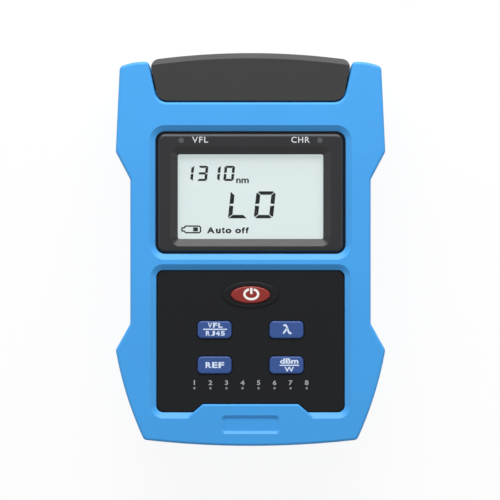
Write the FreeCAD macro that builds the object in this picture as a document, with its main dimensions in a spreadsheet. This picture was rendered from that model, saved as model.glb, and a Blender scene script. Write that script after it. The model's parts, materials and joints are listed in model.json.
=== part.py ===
import FreeCAD, Part
import math
import os
import re

import Sketcher
from FreeCAD import Vector

# A handheld optical power meter with a fault light and a network cable tester.
# It lies on its back: X runs across it, Y towards the flip cover, Z out of the front face.
# The origin is under the middle of the case, on the flat back.

# Driving sizes in millimetres: alias, value, meaning.
SIZES = (
    ("body_width", 84.0, "case across the four bumpers"),
    ("waist_width", 74.9, "case across the hand grip"),
    ("ear_width", 81.5, "case across the corners of the two ears"),
    ("foot_width", 66.4, "case across the corners of the foot"),
    ("body_thickness", 34.0, "back to front face"),
    ("split_height", 17.0, "back to the seam between the shells"),
    ("cover_depth", 15.3, "end of the cover to the floor of its notch"),
    ("brow_gap", 9.0, "notch floor to the display opening"),
    ("bezel_height", 38.3, "length of the display opening"),
    ("panel_gap", 5.0, "bridge between the display and keypad openings"),
    ("keypad_height", 44.4, "length of the keypad opening"),
    ("foot_gap", 10.4, "keypad opening to the end of the foot"),
    ("upper_bumper", 30.8, "end of the cover to the low end of the upper bumpers"),
    ("upper_slope", 8.6, "run of the slope from the upper bumpers to the waist"),
    ("lower_bumper", 29.9, "end of the foot to the high end of the lower bumpers"),
    ("lower_slope", 8.2, "run of the slope from the waist to the lower bumpers"),
    ("foot_crown", 1.9, "rise of the bowed foot"),
    ("flank_bow", 112.0, "radius of the sides below the lower bumpers"),
    ("ear_drop", 4.3, "end of the cover to the outer corner of an ear"),
    ("ear_mouth_drop", 2.8, "end of the cover to the inner corner of an ear"),
    ("ear_bow", 18.0, "radius of the top of an ear"),
    ("outline_rounding", 1.6, "radius of the outline's corners"),
    ("edge_rounding", 0.9, "radius of the front and back edges"),
    ("seam_bevel", 0.3, "bevel each side of the seam"),
    ("wall", 2.4, "wall of the shells"),
    ("ear_wall", 2.4, "wall between an ear and the cover"),
    ("notch_floor_width", 58.0, "cover notch at its floor"),
    ("notch_mouth_width", 63.6, "cover notch between the ears' inner corners"),
    ("notch_rounding", 3.8, "radius of the notch's corners"),
    ("mouth_rounding", 1.0, "radius of the ears' inner corners"),
    ("cover_gap", 0.45, "play between the flip cover and the case"),
    ("cover_recess", 0.2, "flip cover below the front face"),
    ("cover_plate", 2.2, "front wall of the flip cover"),
    ("cover_wall", 2.0, "side and end walls of the flip cover"),
    ("cover_crown", 2.2, "rise of the cover's bowed end"),
    ("cover_corner", 2.6, "radius of the cover's outer corners"),
    ("cover_bevel", 1.7, "width of the bevel along the cover's bowed edge"),
    ("cover_bevel_drop", 0.75, "depth of that bevel"),
    ("cover_rear_bevel", 1.4, "bevel along the cover's rear edge"),
    ("ledge_thickness", 2.0, "shelf under the cover's free edge"),
    ("ledge_root", 1.4, "overlap of the shelf with the front wall"),
    ("chamber_depth", 11.2, "end of the cover to the port plate"),
    ("hinge_setback", 5.0, "end of the cover to the hinge axis"),
    ("hinge_height", 3.6, "back to the hinge axis"),
    ("knuckle_radius", 3.0, "round rail of the cover on the hinge axis"),
    ("hinge_relief", 5.2, "hinge axis to the edge of the rear wall"),
    ("pin_radius", 1.0, "hinge pin"),
    ("pin_seat", 2.5, "length of the hinge pin inside each ear"),
    ("pin_play", 0.06, "running play of the cover on its pin"),
    ("pin_fit", 0.03, "play of the pin and its keepers in the ears"),
    ("port_plate", 2.0, "thickness of the port plate"),
    ("port_lip", 1.0, "depth of the port plate's groove in the ears"),
    ("plate_fit", 0.1, "play of the port plate in its groove"),
    ("bezel_width", 59.4, "width of the display opening"),
    ("bezel_rounding", 3.1, "corner radius of the display opening"),
    ("opening_bevel", 1.8, "width of the bevel round the front openings"),
    ("opening_sink", 1.2, "depth of the bevel round the front openings"),
    ("bezel_gap", 0.35, "play of the bezel in its opening"),
    ("bezel_recess", 0.6, "bezel below the front face"),
    ("bezel_edge", 1.6, "radius of the bezel's outer edge"),
    ("bezel_flange", 1.3, "flange behind the display and keypad openings"),
    ("flange_thickness", 1.0, "thickness of those flanges"),
    ("window_brow", 7.2, "bezel opening to the window at the cover end"),
    ("window_chin", 4.7, "window to the bezel opening at the keypad end"),
    ("window_cheek", 7.0, "bezel opening to the window at each side"),
    ("window_rounding", 0.6, "corner radius of the window"),
    ("window_bevel", 2.3, "width of the sloped frame round the window"),
    ("window_sink", 1.4, "depth of the sloped frame round the window"),
    ("lens_lip", 1.2, "overlap of the clear window behind the bezel"),
    ("lens_thickness", 1.0, "thickness of the clear window"),
    ("lens_fit", 0.15, "play of the clear window and the display panel"),
    ("display_gap", 0.2, "clear window to the display panel"),
    ("display_margin", 1.5, "display panel beyond the window"),
    ("display_thickness", 2.6, "thickness of the display panel"),
    ("frame_wall", 1.2, "wall of the display frame"),
    ("frame_shelf", 1.0, "shelf of the display frame under the panel"),
    ("frame_hold", 1.6, "height of the frame's rim beside the panel"),
    ("strip_width", 2.4, "contact strip under the display panel"),
    ("strip_gap", 0.3, "contact strip to the backlight"),
    ("light_pipe_radius", 0.9, "indicator light in the bezel"),
    ("light_pipe_drop", 2.9, "bezel opening to the indicator lights"),
    ("light_pipe_column", 21.6, "indicator lights from the middle"),
    ("light_pipe_fit", 0.08, "play of the light pipes in their holes"),
    ("keypad_width", 58.8, "width of the keypad opening"),
    ("keypad_rounding", 2.2, "corner radius of the keypad opening"),
    ("keypad_gap", 0.35, "play of the keypad panel in its opening"),
    ("keypad_recess", 1.2, "keypad panel below the front face"),
    ("tongue_width", 29.8, "flat top of the step in the keypad's low edge"),
    ("tongue_height", 2.6, "height of that step"),
    ("tongue_slope", 3.0, "run of each sloped end of that step"),
    ("tongue_rounding", 0.9, "corner radius of that step"),
    ("step_bevel", 0.45, "bevel along that step"),
    ("badge_width", 18.4, "bare recess below the keypad"),
    ("badge_height", 5.8, "length of that recess"),
    ("badge_rounding", 0.6, "corner radius of that recess's floor"),
    ("badge_depth", 0.6, "depth of that recess"),
    ("badge_bevel", 0.9, "width of the slope round that recess"),
    ("badge_sink", 0.5, "depth of that slope"),
    ("badge_drop", 3.7, "keypad opening to the middle of that recess"),
    ("key_width", 10.6, "function key"),
    ("key_height", 5.4, "length of a function key"),
    ("key_rounding", 1.4, "corner radius of a function key"),
    ("key_edge", 0.5, "radius of the keys' front edges"),
    ("key_column", 11.2, "function keys from the middle"),
    ("power_drop", 7.7, "keypad opening to the power key"),
    ("upper_key_drop", 18.6, "keypad opening to the upper function keys"),
    ("lower_key_drop", 29.6, "keypad opening to the lower function keys"),
    ("power_width", 12.3, "oval power key"),
    ("power_height", 5.4, "length of the power key"),
    ("power_rim_width", 17.6, "raised oval round the power key"),
    ("power_rim_height", 8.4, "length of that oval"),
    ("power_rim_rise", 0.5, "height of that oval"),
    ("key_gap", 0.3, "play of a key in the keypad panel"),
    ("key_proud", 0.7, "keys above the keypad panel"),
    ("key_rim", 0.9, "flange that holds a key behind the panel"),
    ("key_flange", 1.0, "thickness of that flange"),
    ("key_play", 0.15, "keypad panel to a key's flange"),
    ("stem_radius", 1.5, "stem of a key"),
    ("key_travel", 0.6, "press of a key"),
    ("switch_width", 6.0, "side of a key switch"),
    ("switch_height", 3.5, "height of a key switch"),
    ("plunger_radius", 1.6, "plunger of a key switch"),
    ("plunger_fit", 0.2, "play of a plunger in its switch"),
    ("plunger_proud", 1.0, "plunger above its switch"),
    ("plunger_depth", 1.8, "plunger inside its switch"),
    ("light_count", 8, "wire map lights"),
    ("light_pitch", 5.0, "step between wire map lights"),
    ("light_drop", 36.9, "keypad opening to the wire map lights"),
    ("light_radius", 0.4, "wire map light"),
    ("light_bar_height", 3.0, "bar that carries the wire map lights"),
    ("light_bar_thickness", 1.5, "thickness of that bar"),
    ("chip_length", 2.0, "light chip on the board"),
    ("chip_width", 1.25, "width of a light chip"),
    ("chip_height", 1.0, "height of a light chip"),
    ("chip_gap", 0.3, "light chip to its light pipe"),
    ("board_width", 55.0, "main board"),
    ("board_depth", 11.5, "front face to the main board"),
    ("board_thickness", 1.6, "thickness of the main board"),
    ("board_gap", 0.4, "main board to the case and the port plate"),
    ("board_rounding", 2.0, "corner radius of the main board"),
    ("post_radius", 1.9, "screw post behind the keypad panel"),
    ("post_inset", 3.0, "screw posts from the sides of the board"),
    ("post_drop", 4.2, "screw posts from the ends of the keypad opening"),
    ("board_screw_radius", 1.0, "board screw"),
    ("board_screw_length", 7.0, "length of a board screw under its head"),
    ("board_screw_head", 1.8, "head radius of a board screw"),
    ("board_screw_head_height", 1.3, "head height of a board screw"),
    ("screw_fit", 0.05, "play of a screw in its hole"),
    ("support_radius", 2.0, "pillar under the main board"),
    ("support_upper", 20.0, "upper pillars from the middle"),
    ("support_lower", 30.0, "lower pillars from the middle"),
    ("support_inset", 2.5, "pillars from the sides of the board"),
    ("boss_radius", 2.9, "screw boss in the front shell"),
    ("rear_boss_radius", 3.5, "screw boss in the rear shell"),
    ("upper_boss_inset", 7.2, "upper bosses from the sides of the case"),
    ("upper_boss_drop", 18.2, "upper bosses from the end of the cover"),
    ("lower_boss_inset", 4.6, "lower bosses from the corners of the foot"),
    ("lower_boss_rise", 5.6, "lower bosses from the end of the foot"),
    ("case_screw_radius", 1.25, "case screw"),
    ("case_screw_head", 2.2, "head radius of a case screw"),
    ("case_screw_head_height", 1.8, "head height of a case screw"),
    ("case_screw_bite", 6.5, "length of a case screw in the front shell"),
    ("screw_well_depth", 5.0, "sunk seat of a case screw's head"),
    ("screw_well_gap", 0.2, "play round a case screw's head"),
    ("battery_width", 38.0, "battery cell"),
    ("battery_length", 56.0, "length of the battery cell"),
    ("battery_thickness", 10.0, "thickness of the battery cell"),
    ("battery_offset", 12.0, "battery cell from the middle towards the foot"),
    ("battery_rounding", 2.0, "corner radius of the battery cell"),
    ("pad_thickness", 0.8, "foam pad under the battery cell"),
    ("pad_inset", 4.0, "foam pad inside the battery cell's outline"),
    ("socket_width", 15.9, "network socket"),
    ("socket_height", 13.3, "height of the network socket"),
    ("socket_length", 18.2, "length of the network socket"),
    ("socket_proud", 0.6, "network socket beyond the port plate"),
    ("socket_column", 16.6, "network socket from the middle"),
    ("socket_fit", 0.25, "play of the sockets in the port plate"),
    ("plug_width", 11.9, "plug opening of the network socket"),
    ("plug_height", 7.0, "height of the plug opening"),
    ("plug_depth", 13.0, "depth of the plug opening"),
    ("plug_roof", 3.2, "network socket above the plug opening"),
    ("latch_width", 6.2, "slot for the plug's latch"),
    ("latch_height", 2.3, "height of that slot"),
    ("contact_count", 8, "contacts in the network socket"),
    ("contact_pitch", 1.02, "step between contacts"),
    ("contact_width", 0.45, "width of a contact"),
    ("contact_thickness", 0.35, "thickness of a contact"),
    ("contact_length", 9.0, "length of a contact"),
    ("contact_foot", 1.5, "straight end of a contact"),
    ("contact_dip", 1.7, "drop of a contact into the plug opening"),
    ("contact_setback", 2.0, "mouth of the network socket to the contacts"),
    ("port_depth", 6.7, "main board to the axes of the optical ports"),
    ("meter_column", -1.0, "meter port from the middle"),
    ("meter_reach", 8.0, "meter port beyond the port plate"),
    ("meter_radius", 4.0, "barrel of the meter port"),
    ("meter_flange", 5.4, "flange radius of the meter port"),
    ("fault_column", 10.9, "fault light port from the middle"),
    ("fault_reach", 7.0, "fault light port beyond the port plate"),
    ("fault_radius", 3.3, "barrel of the fault light port"),
    ("fault_flange", 4.5, "flange radius of the fault light port"),
    ("port_flange", 1.4, "flange thickness of the optical ports"),
    ("port_tail", 4.5, "optical ports behind the port plate"),
    ("port_fit", 0.1, "play of the optical ports in the plate"),
    ("ferrule_radius", 1.25, "bore of the optical ports"),
    ("detector_radius", 2.8, "can of the photodetector"),
    ("detector_fit", 0.1, "play of the photodetector in its port"),
    ("detector_depth", 2.4, "photodetector inside its port"),
    ("detector_flange", 4.0, "flange radius of the photodetector"),
    ("detector_flange_height", 1.1, "flange thickness of the photodetector"),
    ("laser_radius", 4.0, "barrel of the laser module"),
    ("laser_length", 20.0, "length of the laser module"),
    ("laser_groove", 0.5, "groove round the laser module"),
    ("charge_width", 8.9, "charging socket"),
    ("charge_height", 3.2, "height of the charging socket"),
    ("charge_length", 7.4, "length of the charging socket"),
    ("charge_rounding", 1.4, "corner radius of the charging socket"),
    ("charge_wall", 0.35, "sheet of the charging socket"),
    ("charge_depth", 6.2, "depth of the charging socket"),
    ("charge_tongue", 0.7, "tongue of the charging socket"),
    ("charge_tongue_width", 6.6, "width of that tongue"),
    ("charge_tongue_setback", 1.2, "mouth of the charging socket to that tongue"),
    ("charge_proud", 0.3, "charging socket beyond the port plate"),
    ("charge_column", 20.6, "charging socket from the middle"),
)

doc = FreeCAD.newDocument("optical_power_meter")
sheet = doc.addObject("Spreadsheet::Sheet", "Sizes")
for row, (alias, size, meaning) in enumerate(SIZES, start=1):
    sheet.set(f"A{row}", meaning)
    sheet.set(f"B{row}", str(size))
    sheet.setAlias(f"B{row}", alias)
doc.recompute()
ALIASES = {alias for alias, size, meaning in SIZES}


def formula(text):
    """The formula with each size's name written as a cell of the sheet."""
    return re.sub(r"[a-z_]+", lambda word: f"Sizes.{word[0]}" if word[0] in ALIASES else word[0], text)


def number(text):
    """What a formula comes to now."""
    return float(sheet.evalExpression(formula(text)))


def minus(text):
    return f"-({text})"


def bow_radius(half_chord, crown):
    """Radius of an arc that rises by crown over a chord."""
    return f"((({half_chord})^2 + ({crown})^2) / (2 * ({crown})))"


# Places along the case: HALF is the end of the cover, and the foot ends at minus HALF.
HALF = "((cover_depth + brow_gap + bezel_height + panel_gap + keypad_height + foot_gap) / 2)"
NOTCH_FLOOR = f"({HALF} - cover_depth)"
BEZEL_HIGH = f"({NOTCH_FLOOR} - brow_gap)"
BEZEL_LOW = f"({BEZEL_HIGH} - bezel_height)"
KEYPAD_HIGH = f"({BEZEL_LOW} - panel_gap)"
KEYPAD_LOW = f"({KEYPAD_HIGH} - keypad_height)"
WINDOW_HIGH = f"({BEZEL_HIGH} - window_brow)"
WINDOW_LOW = f"({BEZEL_LOW} + window_chin)"
WINDOW_HALF = "(bezel_width / 2 - window_cheek)"
PORT_FACE = f"({HALF} - chamber_depth)"
PORT_BACK = f"({PORT_FACE} - port_plate)"
PORT_TAIL = f"({PORT_BACK} - port_tail)"
HINGE = f"({HALF} - hinge_setback)"

# Heights above the back.
INNER_FACE = "(body_thickness - wall)"
FLANGE_LOW = "(body_thickness - wall - flange_thickness)"
BEZEL_FACE = "(body_thickness - bezel_recess)"
PANEL_FACE = "(body_thickness - keypad_recess)"
DISPLAY_TOP = f"({FLANGE_LOW} - display_gap)"
DISPLAY_LOW = f"({DISPLAY_TOP} - display_thickness)"
KEY_FACE = f"({PANEL_FACE} + key_proud)"
KEY_SEAT = f"({FLANGE_LOW} - key_play)"
BOARD_TOP = "(body_thickness - board_depth)"
BOARD_LOW = "(body_thickness - board_depth - board_thickness)"
SWITCH_TOP = f"({BOARD_TOP} + switch_height)"
PLUNGER_TOP = f"({SWITCH_TOP} + plunger_proud)"
PORT_AXIS = f"({BOARD_LOW} - port_depth)"
PLUG_TOP = f"({BOARD_LOW} - plug_roof)"
COVER_FACE = "(body_thickness - cover_recess)"
COVER_INNER = f"({COVER_FACE} - cover_plate)"
COVER_LOW = "(hinge_height - knuckle_radius)"
KNUCKLE_TOP = "(hinge_height + knuckle_radius)"
LEDGE_TOP = f"({COVER_INNER} - cover_gap)"
LEDGE_LOW = f"({LEDGE_TOP} - ledge_thickness)"

# Places across the case.
BOSS_UPPER = ("body_width / 2 - upper_boss_inset", f"{HALF} - upper_boss_drop")
BOSS_LOWER = ("foot_width / 2 - lower_boss_inset", f"lower_boss_rise - {HALF}")
POST_COLUMN = "(board_width / 2 - post_inset)"
POSTS = ((POST_COLUMN, f"{KEYPAD_HIGH} - post_drop"), (POST_COLUMN, f"{KEYPAD_LOW} + post_drop"))
SUPPORT_COLUMN = "(board_width / 2 - support_inset)"
SUPPORTS = ((SUPPORT_COLUMN, "support_upper"), (SUPPORT_COLUMN, "-support_lower"))
POWER_PLACE = ("0", f"{KEYPAD_HIGH} - power_drop")
KEY_PLACES = {
    "fault_light": ("-key_column", f"{KEYPAD_HIGH} - upper_key_drop"),
    "wavelength": ("key_column", f"{KEYPAD_HIGH} - upper_key_drop"),
    "reference": ("-key_column", f"{KEYPAD_HIGH} - lower_key_drop"),
    "unit": ("key_column", f"{KEYPAD_HIGH} - lower_key_drop"),
}
LIGHT_ROW = f"({KEYPAD_HIGH} - light_drop)"
LIGHT_SPAN = "(light_pitch * (light_count - 1))"
PIPE_ROW = f"({BEZEL_HIGH} - light_pipe_drop)"


def notch_half(place):
    """Half the width of the cover's notch at a place along the case: its sides spread towards the mouth."""
    spread = "(notch_mouth_width - notch_floor_width) / 2 / (cover_depth - ear_mouth_drop)"
    return f"(notch_floor_width / 2 + {spread} * ({place} - {NOTCH_FLOOR}))"


def cover_half(place):
    return f"({notch_half(place)} - cover_gap)"


PLATE_HALF = f"({notch_half(PORT_FACE)} + port_lip)"
KNUCKLE_HALF = cover_half(f"({HINGE} - knuckle_radius)")
PIN_HALF = f"({notch_half(HINGE)} + pin_seat)"
COVER_SHOULDER = f"({HALF} - cover_crown)"


def mirrored(right):
    """A closed row of corners, anticlockwise, from those of the right half."""
    return list(right) + [(minus(x), y) for x, y in reversed(right)]


def both_sides(places):
    return [place for x, y in places for place in ((x, y), (minus(x), y))]


def new_body(label):
    body = doc.addObject("PartDesign::Body", label)
    body.Label = label
    body.Placement = FreeCAD.Placement()
    return body


def new_sketch(body, role, height, raised="0", ahead="0"):
    """A sketch on one of the body's own planes, moved along its normal and within the plane."""
    sketch = body.newObject("Sketcher::SketchObject", f"{body.Name}_sketch")
    origin_plane = next(feature for feature in body.Origin.OriginFeatures if feature.Role == role)
    sketch.AttachmentSupport = [(origin_plane, "")]
    sketch.MapMode = "FlatFace"
    sketch.setExpression("AttachmentOffset.Base.z", formula(height))
    sketch.setExpression("AttachmentOffset.Base.y", formula(raised))
    sketch.setExpression("AttachmentOffset.Base.x", formula(ahead))
    return sketch


def level_sketch(body, height):
    """A sketch across and along the case at a height; its normal points up."""
    return new_sketch(body, "XY_Plane", height)


def side_sketch(body, across, raised="0", ahead="0"):
    """A sketch along the case and up, at a place across it; its normal points to +X."""
    return new_sketch(body, "YZ_Plane", across, raised, ahead)


def end_sketch(body, along):
    """A sketch across the case and up, at a place along it; its normal points to the foot."""
    return new_sketch(body, "XZ_Plane", minus(along))


def bind(sketch, kind, *places, size):
    """A constraint whose value follows a formula."""
    index = sketch.addConstraint(Sketcher.Constraint(kind, *places, number(size)))
    sketch.setExpression(f"Constraints[{index}]", formula(size))


def pin_point(sketch, geometry, end, x, y):
    bind(sketch, "DistanceX", geometry, end, size=x)
    bind(sketch, "DistanceY", geometry, end, size=y)


def arc_between(start, finish, radius):
    """The shorter arc from start to finish, anticlockwise."""
    chord = finish - start
    left = Vector(-chord.y, chord.x, 0).normalize()
    centre = (start + finish) * 0.5 + left * math.sqrt(radius ** 2 - chord.Length ** 2 / 4)
    angles = [math.atan2(point.y - centre.y, point.x - centre.x) for point in (start, finish)]
    return Part.ArcOfCircle(Part.Circle(centre, Vector(0, 0, 1), radius), *angles)


def outline(sketch, corners, bows=None):
    """A closed line through corners, anticlockwise; bows gives the radius of a side that bows outward."""
    bows = bows or {}
    points = [Vector(number(x), number(y), 0) for x, y in corners]
    first = sketch.GeometryCount
    for index, start in enumerate(points):
        finish = points[(index + 1) % len(points)]
        if index in bows:
            sketch.addGeometry(arc_between(start, finish, number(bows[index])), False)
        else:
            sketch.addGeometry(Part.LineSegment(start, finish), False)
    for index, (x, y) in enumerate(corners):
        following = first + (index + 1) % len(points)
        sketch.addConstraint(Sketcher.Constraint("Coincident", first + index, 2, following, 1))
        pin_point(sketch, first + index, 1, x, y)
    for index, radius in bows.items():
        bind(sketch, "Radius", first + index, size=radius)


def rectangle(sketch, left, right, low, high):
    outline(sketch, [(left, low), (right, low), (right, high), (left, high)])


def rounded_rectangle(sketch, left, right, low, high, radius):
    """A rectangle with round corners: four sides joined by four tangent arcs."""
    west, east, south, north, curve = (number(size) for size in (left, right, low, high, radius))
    ends = (
        ((west + curve, south), (east - curve, south)),
        ((east, south + curve), (east, north - curve)),
        ((east - curve, north), (west + curve, north)),
        ((west, north - curve), (west, south + curve)),
    )
    centres = ((east - curve, south + curve), (east - curve, north - curve),
               (west + curve, north - curve), (west + curve, south + curve))
    first = sketch.GeometryCount
    for index, (start, finish) in enumerate(ends):
        sketch.addGeometry(Part.LineSegment(Vector(*start, 0), Vector(*finish, 0)), False)
        circle_line = Part.Circle(Vector(*centres[index], 0), Vector(0, 0, 1), curve)
        turn = (index - 1) * math.pi / 2
        sketch.addGeometry(Part.ArcOfCircle(circle_line, turn, turn + math.pi / 2), False)
    for index in range(4):
        side = first + 2 * index
        following = first + (2 * index + 2) % 8
        sketch.addConstraint(Sketcher.Constraint("Tangent", side, 2, side + 1, 1))
        sketch.addConstraint(Sketcher.Constraint("Tangent", side + 1, 2, following, 1))
        sketch.addConstraint(Sketcher.Constraint("Horizontal" if index % 2 == 0 else "Vertical", side))
        bind(sketch, "Radius", side + 1, size=radius)
    bind(sketch, "DistanceY", first, 1, size=low)
    bind(sketch, "DistanceX", first + 2, 1, size=right)
    bind(sketch, "DistanceY", first + 4, 1, size=high)
    bind(sketch, "DistanceX", first + 6, 1, size=left)


def centred_rectangle(sketch, place, width, height, radius):
    x, y = place
    rounded_rectangle(sketch, f"{x} - ({width}) / 2", f"{x} + ({width}) / 2",
                      f"{y} - ({height}) / 2", f"{y} + ({height}) / 2", radius)


def circle(sketch, place, radius):
    x, y = place
    ring = Part.Circle(Vector(number(x), number(y), 0), Vector(0, 0, 1), number(radius))
    index = sketch.addGeometry(ring, False)
    pin_point(sketch, index, 3, x, y)
    bind(sketch, "Radius", index, size=radius)


def ellipse(sketch, place, width, height):
    """An oval whose long axis lies across the case."""
    x, y = place
    oval = Part.Ellipse(Vector(number(x), number(y), 0), number(width) / 2, number(height) / 2)
    index = sketch.addGeometry(oval, False)
    sketch.exposeInternalGeometry(index)
    pin_point(sketch, index, 3, x, y)
    sketch.addConstraint(Sketcher.Constraint("Horizontal", index + 1))
    bind(sketch, "Distance", index + 1, size=width)
    bind(sketch, "Distance", index + 2, size=height)


def pad(body, sketch, length, against=False, middle=False):
    """Material along the sketch's normal, or against it, or half each way."""
    feature = body.newObject("PartDesign::Pad", f"{body.Name}_pad")
    feature.Profile = sketch
    feature.setExpression("Length", formula(length))
    feature.Reversed = against
    feature.SideType = "Symmetric" if middle else "One side"
    return feature


def pocket(body, sketch, length, along=False, middle=False):
    """A cut against the sketch's normal, or along it, or half each way."""
    doc.recompute()
    before = body.Shape.Volume
    feature = body.newObject("PartDesign::Pocket", f"{body.Name}_pocket")
    feature.Profile = sketch
    feature.setExpression("Length", formula(length))
    feature.Reversed = along
    feature.SideType = "Symmetric" if middle else "One side"
    doc.recompute()
    if not body.Shape.Volume < before:
        raise RuntimeError(f"a pocket of {body.Label} cuts nothing")
    return feature


def revolve(body, sketch):
    """A turned solid about the sketch's own horizontal axis."""
    feature = body.newObject("PartDesign::Revolution", f"{body.Name}_revolution")
    feature.Profile = sketch
    feature.ReferenceAxis = (sketch, ["H_Axis"])
    feature.Angle = 360
    return feature


def groove(body, sketch):
    """A turned cut about the sketch's own vertical axis."""
    doc.recompute()
    before = body.Shape.Volume
    feature = body.newObject("PartDesign::Groove", f"{body.Name}_groove")
    feature.Profile = sketch
    feature.ReferenceAxis = (sketch, ["V_Axis"])
    feature.Angle = 360
    doc.recompute()
    if not body.Shape.Volume < before:
        raise RuntimeError(f"a groove of {body.Label} cuts nothing")
    return feature


def repeat_across(body, features, span, count):
    """Equal copies across the case, the last one a span away."""
    feature = body.newObject("PartDesign::LinearPattern", f"{body.Name}_pattern")
    feature.Originals = features
    axis = next(line for line in body.Origin.OriginFeatures if line.Role == "X_Axis")
    feature.Direction = (axis, [""])
    feature.setExpression("Length", formula(span))
    feature.setExpression("Occurrences", formula(count))
    body.Tip = feature
    return feature


def edges_where(body, test):
    """The body's last feature and the names of its edges that pass the test."""
    doc.recompute()
    names = [f"Edge{index}" for index, edge in enumerate(body.Tip.Shape.Edges, start=1) if test(edge)]
    if not names:
        raise RuntimeError(f"no edge to finish on {body.Label}")
    return body.Tip, names


def near(first, second):
    return abs(first - second) < 1e-4


def upright_at(places):
    """Test for the upright edges at some places of the plan."""
    points = [(number(x), number(y)) for x, y in places]

    def test(edge):
        box = edge.BoundBox
        if not (near(box.XLength, 0) and near(box.YLength, 0)):
            return False
        return any(near(box.XMin, x) and near(box.YMin, y) for x, y in points)
    return test


def level_at(height, inside=None):
    """Test for the flat-lying edges at a height, within a box of the plan where one is given."""
    level = number(height)
    limits = inside and [number(size) for size in inside]

    def test(edge):
        box = edge.BoundBox
        if not (near(box.ZMin, level) and near(box.ZMax, level)):
            return False
        if limits is None:
            return True
        left, right, low, high = limits
        return left < box.XMin and box.XMax < right and low < box.YMin and box.YMax < high
    return test


def fillet(body, chosen, radius):
    feature = body.newObject("PartDesign::Fillet", f"{body.Name}_fillet")
    feature.Base = chosen
    feature.setExpression("Radius", formula(radius))
    return feature


def chamfer(body, chosen, width, depth=None, flip=False):
    """A bevel; depth is given where it isn't the same both ways."""
    feature = body.newObject("PartDesign::Chamfer", f"{body.Name}_chamfer")
    feature.Base = chosen
    feature.setExpression("Size", formula(width))
    if depth:
        feature.ChamferType = "Two distances"
        feature.setExpression("Size2", formula(depth))
        feature.FlipDirection = flip
    return feature


CASE_RIGHT = (
    ("foot_width / 2", f"foot_crown - {HALF}"),
    ("body_width / 2", f"lower_bumper - {HALF}"),
    ("waist_width / 2", f"lower_bumper + lower_slope - {HALF}"),
    ("waist_width / 2", f"{HALF} - upper_bumper - upper_slope"),
    ("body_width / 2", f"{HALF} - upper_bumper"),
    ("ear_width / 2", f"{HALF} - ear_drop"),
    ("notch_mouth_width / 2", f"{HALF} - ear_mouth_drop"),
    (notch_half(NOTCH_FLOOR), NOTCH_FLOOR),
)
CASE_CORNERS = CASE_RIGHT[:-2]
MOUTH_CORNERS = CASE_RIGHT[-2:-1]
NOTCH_CORNERS = CASE_RIGHT[-1:]
CASE_BOWS = {0: "flank_bow", 5: "ear_bow", 9: "ear_bow", 14: "flank_bow",
             15: bow_radius("foot_width / 2", "foot_crown")}
EAR_HOLLOW_END = f"({HALF} - ear_drop - wall)"
CAVITY_RIGHT = (
    ("foot_width / 2 - wall", f"foot_crown + wall - {HALF}"),
    ("body_width / 2 - wall", f"lower_bumper - {HALF}"),
    ("waist_width / 2 - wall", f"lower_bumper + lower_slope - {HALF}"),
    ("waist_width / 2 - wall", f"{HALF} - upper_bumper - upper_slope"),
    ("body_width / 2 - wall", f"{HALF} - upper_bumper"),
    ("ear_width / 2 - wall", EAR_HOLLOW_END),
    (f"{notch_half(EAR_HOLLOW_END)} + ear_wall", EAR_HOLLOW_END),
    (f"{notch_half(NOTCH_FLOOR)} + ear_wall", f"{NOTCH_FLOOR} - ear_wall"),
    (f"{notch_half(NOTCH_FLOOR)} - notch_rounding", f"{NOTCH_FLOOR} - ear_wall"),
    (f"{notch_half(NOTCH_FLOOR)} - notch_rounding", f"{NOTCH_FLOOR} + ear_wall"),
)
CAVITY_BOWS = {0: "flank_bow", 2 * len(CAVITY_RIGHT) - 2: "flank_bow"}


def case_block(body, low, high, outer):
    """A block of the case's outline, its corners and outer edges round and its seam bevelled."""
    sketch = level_sketch(body, low)
    outline(sketch, mirrored(CASE_RIGHT), CASE_BOWS)
    pad(body, sketch, f"{high} - ({low})")
    fillet(body, edges_where(body, upright_at(both_sides(MOUTH_CORNERS))), "mouth_rounding")
    fillet(body, edges_where(body, upright_at(both_sides(CASE_CORNERS))), "outline_rounding")
    fillet(body, edges_where(body, upright_at(both_sides(NOTCH_CORNERS))), "notch_rounding")
    fillet(body, edges_where(body, level_at(outer)), "edge_rounding")
    chamfer(body, edges_where(body, level_at("split_height")), "seam_bevel")


def hollow_case(body, floor, upward):
    """The hollow of a shell, from the seam to its floor."""
    sketch = level_sketch(body, "split_height")
    outline(sketch, mirrored(CAVITY_RIGHT), CAVITY_BOWS)
    pocket(body, sketch, f"abs({floor} - split_height)", along=upward)


def port_plate_groove(body, floor, upward):
    """The slot across both ears that holds the port plate."""
    sketch = level_sketch(body, "split_height")
    rectangle(sketch, minus(PLATE_HALF), PLATE_HALF, PORT_BACK, PORT_FACE)
    pocket(body, sketch, f"abs({floor} - split_height)", along=upward)


def keypad_outline(sketch, margin):
    """The keypad opening with the step in its low edge, grown by a margin."""
    low = f"{KEYPAD_LOW} - ({margin})"
    side = f"keypad_width / 2 + ({margin})"
    right = (("tongue_width / 2 + tongue_slope", low), (side, low), (side, f"{KEYPAD_HIGH} + ({margin})"))
    outline(sketch, mirrored(right) + step_corners(low))


def step_corners(low):
    """The upper corners of the step, left one first."""
    return [("-tongue_width / 2", f"{low} + tongue_height"), ("tongue_width / 2", f"{low} + tongue_height")]


def round_keypad_corners(body, margin):
    low = f"{KEYPAD_LOW} - ({margin})"
    side = f"keypad_width / 2 + ({margin})"
    outer = both_sides(((side, low), (side, f"{KEYPAD_HIGH} + ({margin})")))
    fillet(body, edges_where(body, upright_at(outer)), "keypad_rounding")
    fillet(body, edges_where(body, upright_at(step_corners(low))), "tongue_rounding")


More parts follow.
